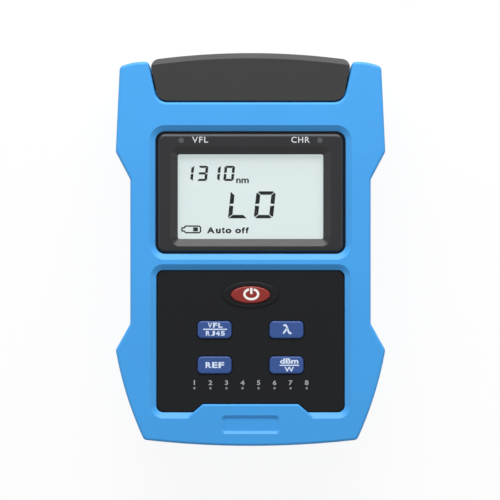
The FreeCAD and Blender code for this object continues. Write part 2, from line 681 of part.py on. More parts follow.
def make_front_shell():
    """The front half of the case: ears, cover notch, display and keypad openings, screw bosses."""
    body = new_body("front_shell")
    case_block(body, "split_height", "body_thickness", "body_thickness")
    hollow_case(body, INNER_FACE, upward=True)
    ledge = level_sketch(body, LEDGE_LOW)
    rectangle(ledge, minus(PLATE_HALF), PLATE_HALF, f"{NOTCH_FLOOR} - ledge_root", PORT_FACE)
    pad(body, ledge, f"{LEDGE_TOP} - {LEDGE_LOW}")
    root = level_sketch(body, LEDGE_TOP)
    rectangle(root, minus(PLATE_HALF), PLATE_HALF, f"{NOTCH_FLOOR} - ledge_root", NOTCH_FLOOR)
    pad(body, root, f"{INNER_FACE} - {LEDGE_TOP}")
    port_plate_groove(body, LEDGE_LOW, upward=True)
    cut_display_opening(body)
    cut_keypad_opening(body)
    cut_badge_recess(body)
    bosses = level_sketch(body, "split_height")
    for place in both_sides((BOSS_UPPER, BOSS_LOWER)):
        circle(bosses, place, "boss_radius")
    pad(body, bosses, f"{INNER_FACE} - split_height")
    holes = level_sketch(body, "split_height")
    for place in both_sides((BOSS_UPPER, BOSS_LOWER)):
        circle(holes, place, "case_screw_radius + screw_fit")
    pocket(body, holes, "case_screw_bite + screw_fit", along=True)
    add_pin_keepers(body)
    return body


def cut_display_opening(body):
    sketch = level_sketch(body, "body_thickness")
    rounded_rectangle(sketch, "-bezel_width / 2", "bezel_width / 2", BEZEL_LOW, BEZEL_HIGH, "bezel_rounding")
    pocket(body, sketch, "wall")
    around = ("-bezel_width / 2 - wall", "bezel_width / 2 + wall",
              f"{BEZEL_LOW} - wall", f"{BEZEL_HIGH} + wall")
    chosen = edges_where(body, level_at("body_thickness", around))
    chamfer(body, chosen, "opening_bevel", "opening_sink", flip=True)


def cut_keypad_opening(body):
    """The keypad opening; the step in its low edge has a narrower bevel than the rest."""
    sketch = level_sketch(body, "body_thickness")
    keypad_outline(sketch, "0")
    pocket(body, sketch, "wall")
    round_keypad_corners(body, "0")
    around = ("-keypad_width / 2 - wall", "keypad_width / 2 + wall",
              f"{KEYPAD_LOW} - badge_drop + badge_height / 2", f"{KEYPAD_HIGH} + wall")
    beside = level_at("body_thickness", around)
    step_half = number("tongue_width / 2 + tongue_slope") + 1e-3
    step_top = number(f"{KEYPAD_LOW} + tongue_height") + 1e-3

    def on_step(edge):
        box = edge.BoundBox
        return -step_half < box.XMin and box.XMax < step_half and box.YMax < step_top
    chosen = edges_where(body, lambda edge: beside(edge) and not on_step(edge))
    chamfer(body, chosen, "opening_bevel", "opening_sink", flip=True)
    step = edges_where(body, lambda edge: beside(edge) and on_step(edge))
    chamfer(body, step, "step_bevel")


def cut_badge_recess(body):
    """A shallow bare recess below the keypad, with sloped sides."""
    middle = f"({KEYPAD_LOW} - badge_drop)"
    sketch = level_sketch(body, "body_thickness")
    centred_rectangle(sketch, ("0", middle),
                      "badge_width - 2 * badge_bevel", "badge_height - 2 * badge_bevel", "badge_rounding")
    pocket(body, sketch, "badge_depth")
    around = ("-badge_width / 2", "badge_width / 2",
              f"{middle} - badge_height / 2", f"{middle} + badge_height / 2")
    chamfer(body, edges_where(body, level_at("body_thickness", around)), "badge_bevel", "badge_sink")


def add_pin_keepers(body):
    """Tongues that reach down the slots of the rear shell's ears and hold the hinge pin in them."""
    sketch = level_sketch(body, "split_height")
    for left, right in ((notch_half(HINGE), f"{PIN_HALF} - pin_fit"),
                        (f"pin_fit - {PIN_HALF}", minus(notch_half(HINGE)))):
        rectangle(sketch, left, right, f"{HINGE} - pin_radius", f"{HINGE} + pin_radius")
    pad(body, sketch, "split_height - hinge_height - pin_radius - pin_fit", against=True)


def make_rear_shell():
    """The rear half of the case: screw wells and bosses, board pillars, and slots for the hinge pin."""
    body = new_body("rear_shell")
    case_block(body, "0", "split_height", "0")
    hollow_case(body, "wall", upward=False)
    lip = level_sketch(body, "0")
    rectangle(lip, minus(PLATE_HALF), PLATE_HALF, f"{NOTCH_FLOOR} - ear_wall", f"{HINGE} - hinge_relief")
    pad(body, lip, "wall")
    port_plate_groove(body, "wall", upward=False)
    bosses = level_sketch(body, "0")
    wells = level_sketch(body, "0")
    holes = level_sketch(body, "0")
    for place in both_sides((BOSS_UPPER, BOSS_LOWER)):
        circle(bosses, place, "rear_boss_radius")
        circle(wells, place, "case_screw_head + screw_well_gap")
        circle(holes, place, "case_screw_radius + screw_fit")
    pad(body, bosses, "split_height")
    pocket(body, wells, "screw_well_depth", along=True)
    pocket(body, holes, "split_height", along=True)
    pillars = level_sketch(body, "wall")
    for place in both_sides(SUPPORTS):
        circle(pillars, place, "support_radius")
    pad(body, pillars, f"{BOARD_LOW} - wall")
    seat = side_sketch(body, "0")
    circle(seat, (HINGE, "hinge_height"), "pin_radius + pin_fit")
    pocket(body, seat, f"2 * {PIN_HALF}", middle=True)
    slot = side_sketch(body, "0")
    rectangle(slot, f"{HINGE} - pin_radius - pin_fit", f"{HINGE} + pin_radius + pin_fit",
              "hinge_height", "split_height")
    pocket(body, slot, f"2 * {PIN_HALF}", middle=True)
    return body


def make_hinge_pin():
    body = new_body("hinge_pin")
    sketch = side_sketch(body, "0")
    circle(sketch, (HINGE, "hinge_height"), "pin_radius")
    pad(body, sketch, f"2 * ({PIN_HALF} - pin_fit)", middle=True)
    return body


COVER_BOW = bow_radius(cover_half(COVER_SHOULDER), "cover_crown")


def make_flip_cover():
    """The hood over the ports: a front plate, side and end walls, and a round rail on the hinge pin."""
    body = new_body("flip_cover")
    free_edge = f"({NOTCH_FLOOR} + cover_gap)"
    shoulder = (cover_half(COVER_SHOULDER), COVER_SHOULDER)
    plate = level_sketch(body, COVER_INNER)
    outline(plate, mirrored(((cover_half(free_edge), free_edge), shoulder)), {1: COVER_BOW})
    pad(body, plate, "cover_plate")
    wall_edge = f"({PORT_FACE} + cover_gap)"
    hood = level_sketch(body, KNUCKLE_TOP)
    outline(hood, mirrored(((cover_half(wall_edge), wall_edge), shoulder)), {1: COVER_BOW})
    pad(body, hood, f"{COVER_INNER} - {KNUCKLE_TOP}")
    fillet(body, edges_where(body, rises_at(shoulder)), "cover_corner")
    inside = level_sketch(body, KNUCKLE_TOP)
    inner_half = f"({cover_half(COVER_SHOULDER)} - cover_wall)"
    outline(inside, mirrored(((f"{cover_half(wall_edge)} - cover_wall", f"{wall_edge} - cover_wall"),
                              (inner_half, f"{COVER_SHOULDER} - cover_wall"))),
            {1: bow_radius(inner_half, "cover_crown")})
    pocket(body, inside, f"{COVER_INNER} - {KNUCKLE_TOP}", along=True)
    rail = level_sketch(body, COVER_LOW)
    end_half = f"({KNUCKLE_HALF} - cover_corner)"
    end = f"{HALF} - {COVER_BOW} + sqrt({COVER_BOW}^2 - {end_half}^2)"
    outline(rail, mirrored(((KNUCKLE_HALF, HINGE), (KNUCKLE_HALF, f"{end} - cover_corner"), (end_half, end))),
            {2: COVER_BOW})
    pad(body, rail, "2 * knuckle_radius")
    knuckle = side_sketch(body, "0")
    circle(knuckle, (HINGE, "hinge_height"), "knuckle_radius")
    pad(body, knuckle, f"2 * {KNUCKLE_HALF}", middle=True)
    bore = side_sketch(body, "0")
    circle(bore, (HINGE, "hinge_height"), "pin_radius + pin_play")
    pocket(body, bore, f"2 * {KNUCKLE_HALF} + cover_wall", middle=True)
    free_corner = (cover_half(free_edge), free_edge)
    fillet(body, edges_where(body, rises_at(free_corner)), "notch_rounding - cover_gap")
    bevel_bowed_end(body, COVER_FACE, "cover_bevel", "cover_bevel_drop")
    bevel_bowed_end(body, COVER_LOW, "cover_rear_bevel", "-cover_rear_bevel")
    return body


def bevel_bowed_end(body, height, width, drop):
    """A bevel along the cover's bowed end, down from a height, or up from it for a drop less than nothing."""
    sketch = side_sketch(body, "0", ahead=f"{HALF} - {COVER_BOW}")
    corners = [
        (f"{COVER_BOW} - 2 * {width}", f"{height} + {drop}"),
        (f"{COVER_BOW} + {width}", f"{height} - 2 * ({drop})"),
        (f"{COVER_BOW} + {width}", f"{height} + {drop}"),
    ]
    outline(sketch, corners)
    groove(body, sketch)


def rises_at(place):
    """Test for the upright edges at a place of the plan and at its mirror image."""
    return upright_at(both_sides((place,)))


def make_port_plate():
    """The end wall behind the flip cover, with a way through for each port."""
    body = new_body("port_plate")
    blank = end_sketch(body, PORT_FACE)
    rectangle(blank, f"plate_fit - {PLATE_HALF}", f"{PLATE_HALF} - plate_fit", "wall", LEDGE_LOW)
    pad(body, blank, "port_plate")
    ways = end_sketch(body, PORT_FACE)
    socket_half = "(socket_width / 2 + socket_fit)"
    rectangle(ways, f"-socket_column - {socket_half}", f"{socket_half} - socket_column",
              f"{BOARD_LOW} - socket_height - socket_fit", f"{BOARD_LOW} + socket_fit")
    circle(ways, ("meter_column", PORT_AXIS), "meter_radius + port_fit")
    circle(ways, ("fault_column", PORT_AXIS), "fault_radius + port_fit")
    centred_rectangle(ways, ("charge_column", f"({BOARD_LOW} - charge_height / 2)"),
                      "charge_width + 2 * socket_fit", "charge_height + 2 * socket_fit",
                      "charge_rounding + socket_fit")
    pocket(body, ways, "port_plate", along=True)
    return body


def turned_piece(label, column, profile):
    """A piece turned about an axis along the case at the height of the optical ports."""
    body = new_body(label)
    sketch = side_sketch(body, column, raised=PORT_AXIS)
    outline(sketch, profile)
    revolve(body, sketch)
    return body


def make_meter_port():
    """The optical input: a barrel for a connector, its ferrule bore, and a cup for the detector."""
    tip = f"{PORT_FACE} + meter_reach"
    cup_floor = f"{PORT_TAIL} + detector_depth"
    return turned_piece("meter_port", "meter_column", [
        (PORT_TAIL, "detector_radius + detector_fit"),
        (cup_floor, "detector_radius + detector_fit"),
        (cup_floor, "ferrule_radius"),
        (tip, "ferrule_radius"),
        (tip, "meter_radius"),
        (f"{PORT_FACE} + port_flange", "meter_radius"),
        (f"{PORT_FACE} + port_flange", "meter_flange"),
        (PORT_FACE, "meter_flange"),
        (PORT_FACE, "meter_radius"),
        (PORT_TAIL, "meter_radius"),
    ])


def make_photodetector():
    """A detector can whose flange closes the back of the meter port."""
    return turned_piece("photodetector", "meter_column", [
        (f"{PORT_TAIL} - detector_flange_height", "0"),
        (f"{PORT_TAIL} + detector_depth - detector_fit", "0"),
        (f"{PORT_TAIL} + detector_depth - detector_fit", "detector_radius"),
        (PORT_TAIL, "detector_radius"),
        (PORT_TAIL, "detector_flange"),
        (f"{PORT_TAIL} - detector_flange_height", "detector_flange"),
    ])


def make_fault_light_port():
    """The output for the red fault light, with a ferrule bore right through."""
    tip = f"{PORT_FACE} + fault_reach"
    return turned_piece("fault_light_port", "fault_column", [
        (PORT_TAIL, "ferrule_radius"),
        (tip, "ferrule_radius"),
        (tip, "fault_radius"),
        (f"{PORT_FACE} + port_flange", "fault_radius"),
        (f"{PORT_FACE} + port_flange", "fault_flange"),
        (PORT_FACE, "fault_flange"),
        (PORT_FACE, "fault_radius"),
        (PORT_TAIL, "fault_radius"),
    ])


def make_laser_module():
    """The barrel that makes the red fault light, set against the back of its port."""
    groove = f"{PORT_TAIL} - laser_radius"
    return turned_piece("laser_module", "fault_column", [
        (f"{PORT_TAIL} - laser_length", "0"),
        (PORT_TAIL, "0"),
        (PORT_TAIL, "laser_radius"),
        (groove, "laser_radius"),
        (groove, "laser_radius - laser_groove"),
        (f"{groove} - 2 * laser_groove", "laser_radius - laser_groove"),
        (f"{groove} - 2 * laser_groove", "laser_radius"),
        (f"{PORT_TAIL} - laser_length", "laser_radius"),
    ])


SOCKET_FRONT = f"({PORT_FACE} + socket_proud)"


def make_network_socket():
    """An eight-way network socket on the underside of the board, its latch slot towards the back."""
    body = new_body("network_socket")
    block = end_sketch(body, SOCKET_FRONT)
    rectangle(block, "-socket_column - socket_width / 2", "socket_width / 2 - socket_column",
              f"{BOARD_LOW} - socket_height", BOARD_LOW)
    pad(body, block, "socket_length")
    floor = f"{PLUG_TOP} - plug_height"
    latch_left = "-socket_column - latch_width / 2"
    latch_right = "latch_width / 2 - socket_column"
    left = "-socket_column - plug_width / 2"
    right = "plug_width / 2 - socket_column"
    way = end_sketch(body, SOCKET_FRONT)
    outline(way, [
        (latch_left, f"{floor} - latch_height"), (latch_right, f"{floor} - latch_height"),
        (latch_right, floor), (right, floor), (right, PLUG_TOP),
        (left, PLUG_TOP), (left, floor), (latch_left, floor),
    ])
    pocket(body, way, "plug_depth", along=True)
    return body


def make_socket_contacts():
    """Spring contacts that lie on the roof of the plug opening and dip into it."""
    body = new_body("socket_contacts")
    front = f"{SOCKET_FRONT} - contact_setback"
    span = "(contact_pitch * (contact_count - 1))"
    sketch = side_sketch(body, f"-socket_column - {span} / 2 - contact_width / 2")
    outline(sketch, [
        (front, PLUG_TOP),
        (f"{front} - contact_foot", PLUG_TOP),
        (f"{front} - contact_length", f"{PLUG_TOP} - contact_dip"),
        (f"{front} - contact_length", f"{PLUG_TOP} - contact_dip - contact_thickness"),
        (f"{front} - contact_foot", f"{PLUG_TOP} - contact_thickness"),
        (front, f"{PLUG_TOP} - contact_thickness"),
    ])
    contact = pad(body, sketch, "contact_width")
    repeat_across(body, [contact], span, "contact_count")
    return body


def make_charge_socket():
    """A folded-sheet charging socket with a tongue, on the underside of the board."""
    body = new_body("charge_socket")
    front = f"({PORT_FACE} + charge_proud)"
    middle = ("charge_column", f"({BOARD_LOW} - charge_height / 2)")
    sleeve = end_sketch(body, front)
    centred_rectangle(sleeve, middle, "charge_width", "charge_height", "charge_rounding")
    pad(body, sleeve, "charge_length")
    way = end_sketch(body, front)
    centred_rectangle(way, middle, "charge_width - 2 * charge_wall", "charge_height - 2 * charge_wall",
                      "charge_rounding - charge_wall")
    pocket(body, way, "charge_depth", along=True)
    tongue = end_sketch(body, f"{front} - charge_tongue_setback")
    x, z = middle
    rectangle(tongue, f"{x} - charge_tongue_width / 2", f"{x} + charge_tongue_width / 2",
              f"{z} - charge_tongue / 2", f"{z} + charge_tongue / 2")
    pad(body, tongue, "charge_depth - charge_tongue_setback")
    return body


def bezel_outline(sketch, margin, radius):
    rounded_rectangle(sketch, f"-bezel_width / 2 - ({margin})", f"bezel_width / 2 + ({margin})",
                      f"{BEZEL_LOW} - ({margin})", f"{BEZEL_HIGH} + ({margin})", radius)


def window_outline(sketch, margin, radius="window_rounding"):
    rounded_rectangle(sketch, f"-{WINDOW_HALF} - ({margin})", f"{WINDOW_HALF} + ({margin})",
                      f"{WINDOW_LOW} - ({margin})", f"{WINDOW_HIGH} + ({margin})", radius)


def make_display_bezel():
    """The dark frame round the display: round outer edge, sloped inner frame, a seat for the clear window."""
    body = new_body("display_bezel")
    block = level_sketch(body, FLANGE_LOW)
    bezel_outline(block, "-bezel_gap", "bezel_rounding - bezel_gap")
    pad(body, block, f"{BEZEL_FACE} - {FLANGE_LOW}")
    fillet(body, edges_where(body, level_at(BEZEL_FACE)), "bezel_edge")
    flange = level_sketch(body, FLANGE_LOW)
    bezel_outline(flange, "bezel_flange", "bezel_rounding")
    pad(body, flange, "flange_thickness")
    window = level_sketch(body, BEZEL_FACE)
    window_outline(window, "0")
    pocket(body, window, f"{BEZEL_FACE} - {FLANGE_LOW}")
    around = (f"-{WINDOW_HALF} - frame_wall", f"{WINDOW_HALF} + frame_wall",
              f"{WINDOW_LOW} - frame_wall", f"{WINDOW_HIGH} + frame_wall")
    chamfer(body, edges_where(body, level_at(BEZEL_FACE, around)), "window_bevel", "window_sink", flip=True)
    seat = level_sketch(body, FLANGE_LOW)
    window_outline(seat, "lens_lip + lens_fit")
    pocket(body, seat, "lens_thickness", along=True)
    pipes = level_sketch(body, BEZEL_FACE)
    for place in both_sides((("light_pipe_column", PIPE_ROW),)):
        circle(pipes, place, "light_pipe_radius + light_pipe_fit")
    pocket(body, pipes, f"{BEZEL_FACE} - {FLANGE_LOW}")
    return body


def make_display_window():
    """The clear sheet behind the bezel."""
    body = new_body("display_window")
    sketch = level_sketch(body, FLANGE_LOW)
    window_outline(sketch, "lens_lip")
    pad(body, sketch, "lens_thickness")
    return body


def make_display_panel():
    """The segment display."""
    body = new_body("display_panel")
    sketch = level_sketch(body, DISPLAY_LOW)
    window_outline(sketch, "display_margin", "window_rounding / 2")
    pad(body, sketch, "display_thickness")
    return body


def make_display_frame():
    """The frame on the board that holds the display panel over its backlight."""
    body = new_body("display_frame")
    block = level_sketch(body, BOARD_TOP)
    window_outline(block, "display_margin + lens_fit + frame_wall", "frame_wall")
    pad(body, block, f"{DISPLAY_LOW} + frame_hold - {BOARD_TOP}")
    panel = level_sketch(body, f"{DISPLAY_LOW} + frame_hold")
    window_outline(panel, "display_margin + lens_fit")
    pocket(body, panel, "frame_hold")
    well = level_sketch(body, DISPLAY_LOW)
    window_outline(well, "display_margin - frame_shelf")
    pocket(body, well, f"{DISPLAY_LOW} - {BOARD_TOP}")
    return body


def block_in_frame(label, low, high):
    """A block between the board and the display panel, inside the display frame."""
    body = new_body(label)
    sketch = level_sketch(body, BOARD_TOP)
    side = f"({WINDOW_HALF} + display_margin - frame_shelf - lens_fit)"
    rounded_rectangle(sketch, minus(side), side, low, high, "window_rounding")
    pad(body, sketch, f"{DISPLAY_LOW} - {BOARD_TOP}")
    return body


WELL_LOW = f"({WINDOW_LOW} - display_margin + frame_shelf + lens_fit)"
WELL_HIGH = f"({WINDOW_HIGH} + display_margin - frame_shelf - lens_fit)"


def make_contact_strip():
    return block_in_frame("contact_strip", WELL_LOW, f"{WELL_LOW} + strip_width")


def make_backlight():
    return block_in_frame("backlight", f"{WELL_LOW} + strip_width + strip_gap", WELL_HIGH)


def make_indicator_pipes():
    """Light pipes from the board to the bezel's face."""
    body = new_body("indicator_pipes")
    low = f"({BOARD_TOP} + chip_height + chip_gap)"
    sketch = level_sketch(body, low)
    for place in both_sides((("light_pipe_column", PIPE_ROW),)):
        circle(sketch, place, "light_pipe_radius")
    pad(body, sketch, f"{BEZEL_FACE} - {low}")
    return body


def chip_outline(sketch, place):
    x, y = place
    rectangle(sketch, f"{x} - chip_length / 2", f"{x} + chip_length / 2",
              f"{y} - chip_width / 2", f"{y} + chip_width / 2")


def make_indicator_chips():
    body = new_body("indicator_chips")
    sketch = level_sketch(body, BOARD_TOP)
    for place in both_sides((("light_pipe_column", PIPE_ROW),)):
        chip_outline(sketch, place)
    pad(body, sketch, "chip_height")
    return body


def make_wire_map_chips():
    body = new_body("wire_map_chips")
    sketch = level_sketch(body, BOARD_TOP)
    chip_outline(sketch, (f"-{LIGHT_SPAN} / 2", LIGHT_ROW))
    chip = pad(body, sketch, "chip_height")
    repeat_across(body, [chip], LIGHT_SPAN, "light_count")
    return body


def make_light_bar():
    """A clear bar behind the keypad panel whose pins show through it as the wire map lights."""
    body = new_body("light_bar")
    low = f"({FLANGE_LOW} - light_bar_thickness)"
    bar = level_sketch(body, low)
    centred_rectangle(bar, ("0", LIGHT_ROW),
                      f"{LIGHT_SPAN} + light_bar_height", "light_bar_height", "light_radius")
    pad(body, bar, "light_bar_thickness")
    tip = level_sketch(body, FLANGE_LOW)
    circle(tip, (f"-{LIGHT_SPAN} / 2", LIGHT_ROW), "light_radius")
    pin = pad(body, tip, f"{PANEL_FACE} - {FLANGE_LOW}")
    repeat_across(body, [pin], LIGHT_SPAN, "light_count")
    return body


def make_keypad_panel():
    """The black panel round the keys: flange, power rim, key holes, light holes and board posts."""
    body = new_body("keypad_panel")
    plate = level_sketch(body, FLANGE_LOW)
    keypad_outline(plate, "-keypad_gap")
    pad(body, plate, f"{PANEL_FACE} - {FLANGE_LOW}")
    round_keypad_corners(body, "-keypad_gap")
    flange = level_sketch(body, FLANGE_LOW)
    keypad_outline(flange, "bezel_flange")
    pad(body, flange, "flange_thickness")
    rim = level_sketch(body, PANEL_FACE)
    ellipse(rim, POWER_PLACE, "power_rim_width", "power_rim_height")
    pad(body, rim, "power_rim_rise")
    rim_top = level_at(f"{PANEL_FACE} + power_rim_rise")
    fillet(body, edges_where(body, rim_top), "power_rim_rise * 0.9")
    ways = level_sketch(body, KEY_FACE)
    ellipse(ways, POWER_PLACE, "power_width + 2 * key_gap", "power_height + 2 * key_gap")
    for place in KEY_PLACES.values():
        centred_rectangle(ways, place, "key_width + 2 * key_gap", "key_height + 2 * key_gap",
                          "key_rounding + key_gap")
    pocket(body, ways, f"{KEY_FACE} - {FLANGE_LOW}")
    light = level_sketch(body, PANEL_FACE)
    circle(light, (f"-{LIGHT_SPAN} / 2", LIGHT_ROW), "light_radius + light_pipe_fit")
    hole = pocket(body, light, f"{PANEL_FACE} - {FLANGE_LOW}")
    repeat_across(body, [hole], LIGHT_SPAN, "light_count")
    posts = level_sketch(body, BOARD_TOP)
    bores = level_sketch(body, BOARD_TOP)
    for place in both_sides(POSTS):
        circle(posts, place, "post_radius")
        circle(bores, place, "board_screw_radius + screw_fit")
    pad(body, posts, f"{FLANGE_LOW} - {BOARD_TOP}")
    pocket(body, bores, "board_screw_length - board_thickness + screw_fit", along=True)
    return body


def key_piece(label, draw):
    """A key: its cap through the panel, the flange that holds it there, and the stem to its switch."""
    body = new_body(label)
    cap = level_sketch(body, KEY_SEAT)
    draw(cap, "0")
    pad(body, cap, f"{KEY_FACE} - {KEY_SEAT}")
    fillet(body, edges_where(body, level_at(KEY_FACE)), "key_edge")
    flange = level_sketch(body, KEY_SEAT)
    draw(flange, "key_rim")
    pad(body, flange, "key_flange", against=True)
    return body


def add_stem(body, place):
    sketch = level_sketch(body, PLUNGER_TOP)
    circle(sketch, place, "stem_radius")
    pad(body, sketch, f"{KEY_SEAT} - key_flange - {PLUNGER_TOP}")
    return body


def make_power_key():
    def draw(sketch, margin):
        ellipse(sketch, POWER_PLACE, f"power_width + 2 * {margin}", f"power_height + 2 * {margin}")
    return add_stem(key_piece("power_key", draw), POWER_PLACE)


def make_function_key(name):
    place = KEY_PLACES[name]

    def draw(sketch, margin):
        centred_rectangle(sketch, place, f"key_width + 2 * {margin}", f"key_height + 2 * {margin}",
                          f"key_rounding + {margin}")
    return add_stem(key_piece(f"{name}_key", draw), place)


SWITCH_PLACES = {"power": POWER_PLACE, **KEY_PLACES}


def make_key_switches():
    """The switch bodies on the board, one under each key, each with a well for its plunger."""
    body = new_body("key_switches")
    bases = level_sketch(body, BOARD_TOP)
    wells = level_sketch(body, SWITCH_TOP)
    for x, y in SWITCH_PLACES.values():
        rectangle(bases, f"{x} - switch_width / 2", f"{x} + switch_width / 2",
                  f"{y} - switch_width / 2", f"{y} + switch_width / 2")
        circle(wells, (x, y), "plunger_radius + plunger_fit")
    pad(body, bases, "switch_height")
    pocket(body, wells, "plunger_depth + key_travel + plunger_fit")
    return body


def make_plunger(name):
    """The plunger of a key switch, against the stem of its key."""
    body = new_body(f"{name}_plunger")
    low = f"({SWITCH_TOP} - plunger_depth)"
    sketch = level_sketch(body, low)
    circle(sketch, SWITCH_PLACES[name], "plunger_radius")
    pad(body, sketch, f"{PLUNGER_TOP} - {low}")
    return body


def make_main_board():
    """The circuit board, narrower where it runs between the corners of the cover notch."""
    body = new_body("main_board")
    sketch = level_sketch(body, BOARD_LOW)
    web = f"{NOTCH_FLOOR} - ear_wall - board_gap"
    neck = f"{notch_half(NOTCH_FLOOR)} - notch_rounding - board_gap"
    outline(sketch, mirrored((("board_width / 2", KEYPAD_LOW), ("board_width / 2", web), (neck, web),
                              (neck, f"{PORT_BACK} - board_gap"))))
    pad(body, sketch, "board_thickness")
    fillet(body, edges_where(body, rises_at(("board_width / 2", KEYPAD_LOW))), "board_rounding")
    holes = level_sketch(body, BOARD_TOP)
    for place in both_sides(POSTS):
        circle(holes, place, "board_screw_radius + screw_fit")
    pocket(body, holes, "board_thickness")
    return body


def screw_set(label, places, seat, head_radius, head_height, radius, length):
    """Screws with their heads below a seat and their shanks above it."""
    body = new_body(label)
    heads = level_sketch(body, seat)
    shanks = level_sketch(body, seat)
    for place in places:
        circle(heads, place, head_radius)
        circle(shanks, place, radius)
    pad(body, heads, head_height, against=True)
    pad(body, shanks, length)
    return body


def make_board_screws():
    return screw_set("board_screws", both_sides(POSTS), BOARD_LOW,
                     "board_screw_head", "board_screw_head_height",
                     "board_screw_radius", "board_screw_length")


def make_case_screws():
    return screw_set("case_screws", both_sides((BOSS_UPPER, BOSS_LOWER)), "screw_well_depth",
                     "case_screw_head", "case_screw_head_height", "case_screw_radius",
                     "split_height - screw_well_depth + case_screw_bite")


BATTERY_PLACE = ("0", "-battery_offset")


def make_battery_pad():
    body = new_body("battery_pad")
    sketch = level_sketch(body, "wall")
    centred_rectangle(sketch, BATTERY_PLACE,
                      "battery_width - 2 * pad_inset", "battery_length - 2 * pad_inset",
                      "battery_rounding")
    pad(body, sketch, "pad_thickness")
    return body


def make_battery_cell():
    body = new_body("battery_cell")
    sketch = level_sketch(body, "wall + pad_thickness")
    centred_rectangle(sketch, BATTERY_PLACE, "battery_width", "battery_length", "battery_rounding")
    pad(body, sketch, "battery_thickness")
    return body


SINGLE_PIECES = (
    make_front_shell, make_rear_shell, make_hinge_pin, make_flip_cover, make_port_plate, make_meter_port,
    make_photodetector, make_fault_light_port, make_laser_module, make_network_socket, make_socket_contacts,
    make_charge_socket, make_display_bezel, make_display_window, make_display_panel, make_display_frame,
    make_contact_strip, make_backlight, make_indicator_pipes, make_indicator_chips, make_wire_map_chips,
    make_light_bar, make_keypad_panel, make_power_key, make_key_switches, make_main_board, make_board_screws,
    make_case_screws, make_battery_pad, make_battery_cell,
)


def make_pieces():
    pieces = [make() for make in SINGLE_PIECES]
    pieces += [make_function_key(name) for name in KEY_PLACES]
    pieces += [make_plunger(name) for name in SWITCH_PLACES]
    return pieces


def write_parts(pieces):
    """Check every object of the document, then write each piece to its own file."""
    doc.recompute()
    failed = [item.Label for item in doc.Objects if {"Invalid", "Error"} & set(item.State)]
    if failed:
        raise RuntimeError("failed: " + ", ".join(failed))
    for piece in pieces:
        if piece.Shape.isNull() or not piece.Shape.isValid():
            raise RuntimeError(f"bad shape: {piece.Label}")
    os.makedirs("parts", exist_ok=True)
    for piece in pieces:
        piece.Shape.exportStep(f"parts/{piece.Label}.step")


write_parts(make_pieces())
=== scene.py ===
"""Looks of a handheld optical power meter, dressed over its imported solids.

X runs across the meter, Y towards the flip cover and Z out of the front face, all in metres.
"""

import json
import math
from typing import NamedTuple

import bmesh
import bpy
from bpy.props import FloatProperty, FloatVectorProperty, IntProperty, PointerProperty
from mathutils import Matrix, Vector

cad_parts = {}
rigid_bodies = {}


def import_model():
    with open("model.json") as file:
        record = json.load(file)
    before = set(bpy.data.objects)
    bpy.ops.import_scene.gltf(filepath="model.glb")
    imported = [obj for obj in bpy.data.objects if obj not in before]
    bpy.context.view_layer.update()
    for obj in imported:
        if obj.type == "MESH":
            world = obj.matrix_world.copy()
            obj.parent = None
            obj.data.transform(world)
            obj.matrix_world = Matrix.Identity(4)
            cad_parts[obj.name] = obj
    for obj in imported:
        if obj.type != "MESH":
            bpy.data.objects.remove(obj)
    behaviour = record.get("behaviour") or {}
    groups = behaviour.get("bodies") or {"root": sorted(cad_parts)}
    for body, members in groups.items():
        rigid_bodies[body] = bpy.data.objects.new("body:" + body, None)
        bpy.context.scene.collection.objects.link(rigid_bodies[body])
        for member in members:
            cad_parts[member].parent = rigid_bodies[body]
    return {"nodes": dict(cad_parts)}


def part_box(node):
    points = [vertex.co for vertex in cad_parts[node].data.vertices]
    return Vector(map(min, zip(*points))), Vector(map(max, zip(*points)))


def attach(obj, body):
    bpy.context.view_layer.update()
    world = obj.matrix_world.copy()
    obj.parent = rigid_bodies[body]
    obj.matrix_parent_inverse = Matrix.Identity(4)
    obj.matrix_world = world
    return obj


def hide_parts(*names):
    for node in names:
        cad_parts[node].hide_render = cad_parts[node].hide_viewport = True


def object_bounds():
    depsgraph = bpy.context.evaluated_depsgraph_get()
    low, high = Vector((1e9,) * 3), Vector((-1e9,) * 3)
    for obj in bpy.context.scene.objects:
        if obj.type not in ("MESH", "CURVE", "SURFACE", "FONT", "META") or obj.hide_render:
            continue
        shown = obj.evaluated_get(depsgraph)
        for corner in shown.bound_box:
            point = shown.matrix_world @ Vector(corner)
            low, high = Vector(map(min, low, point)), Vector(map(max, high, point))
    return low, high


bl_info = {
    "name": "Optical power meter looks",
    "version": (1, 0, 0),
    "blender": (4, 5, 0),
    "location": "View3D > Sidebar > Meter",
    "description": "Finishes, prints and small fittings of a handheld optical power meter",
    "category": "Object",
}

for leftover in list(bpy.data.objects):
    bpy.data.objects.remove(leftover)
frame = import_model()
CAD_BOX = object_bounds()
NODES = frame["nodes"]
MM = 0.001

# Places below are in millimetres. Edges are left, right, low and high.
# Prints on the bezel: name, words and edges.
BEZEL_PRINTS = (
    ("fault_light_word", "VFL", (-18.2, -13.2, 33.25, 35.1)),
    ("charge_word", "CHR", (12.7, 18.4, 33.25, 35.1)),
)
# Prints on the keys: key, name, words and edges.
KEY_PRINTS = (
    ("fault_light_key", "fault_light_print", "VFL", (-13.3, -8.7, -24.35, -22.8)),
    ("fault_light_key", "cable_test_print", "RJ45", (-13.9, -8.0, -26.85, -25.35)),
    ("reference_key", "reference_print", "REF", (-14.0, -8.2, -36.9, -35.05)),
    ("unit_key", "decibel_print", "dBm", (9.2, 14.9, -35.55, -33.9)),
    ("unit_key", "watt_print", "W", (10.55, 13.55, -38.0, -36.55)),
)
# Rules between the two words on a key: key, name, left, right and height.
KEY_RULES = (
    ("fault_light_key", "fault_light_rule", -14.7, -7.3, -24.85),
    ("unit_key", "unit_rule", 9.05, 15.1, -36.05),
)
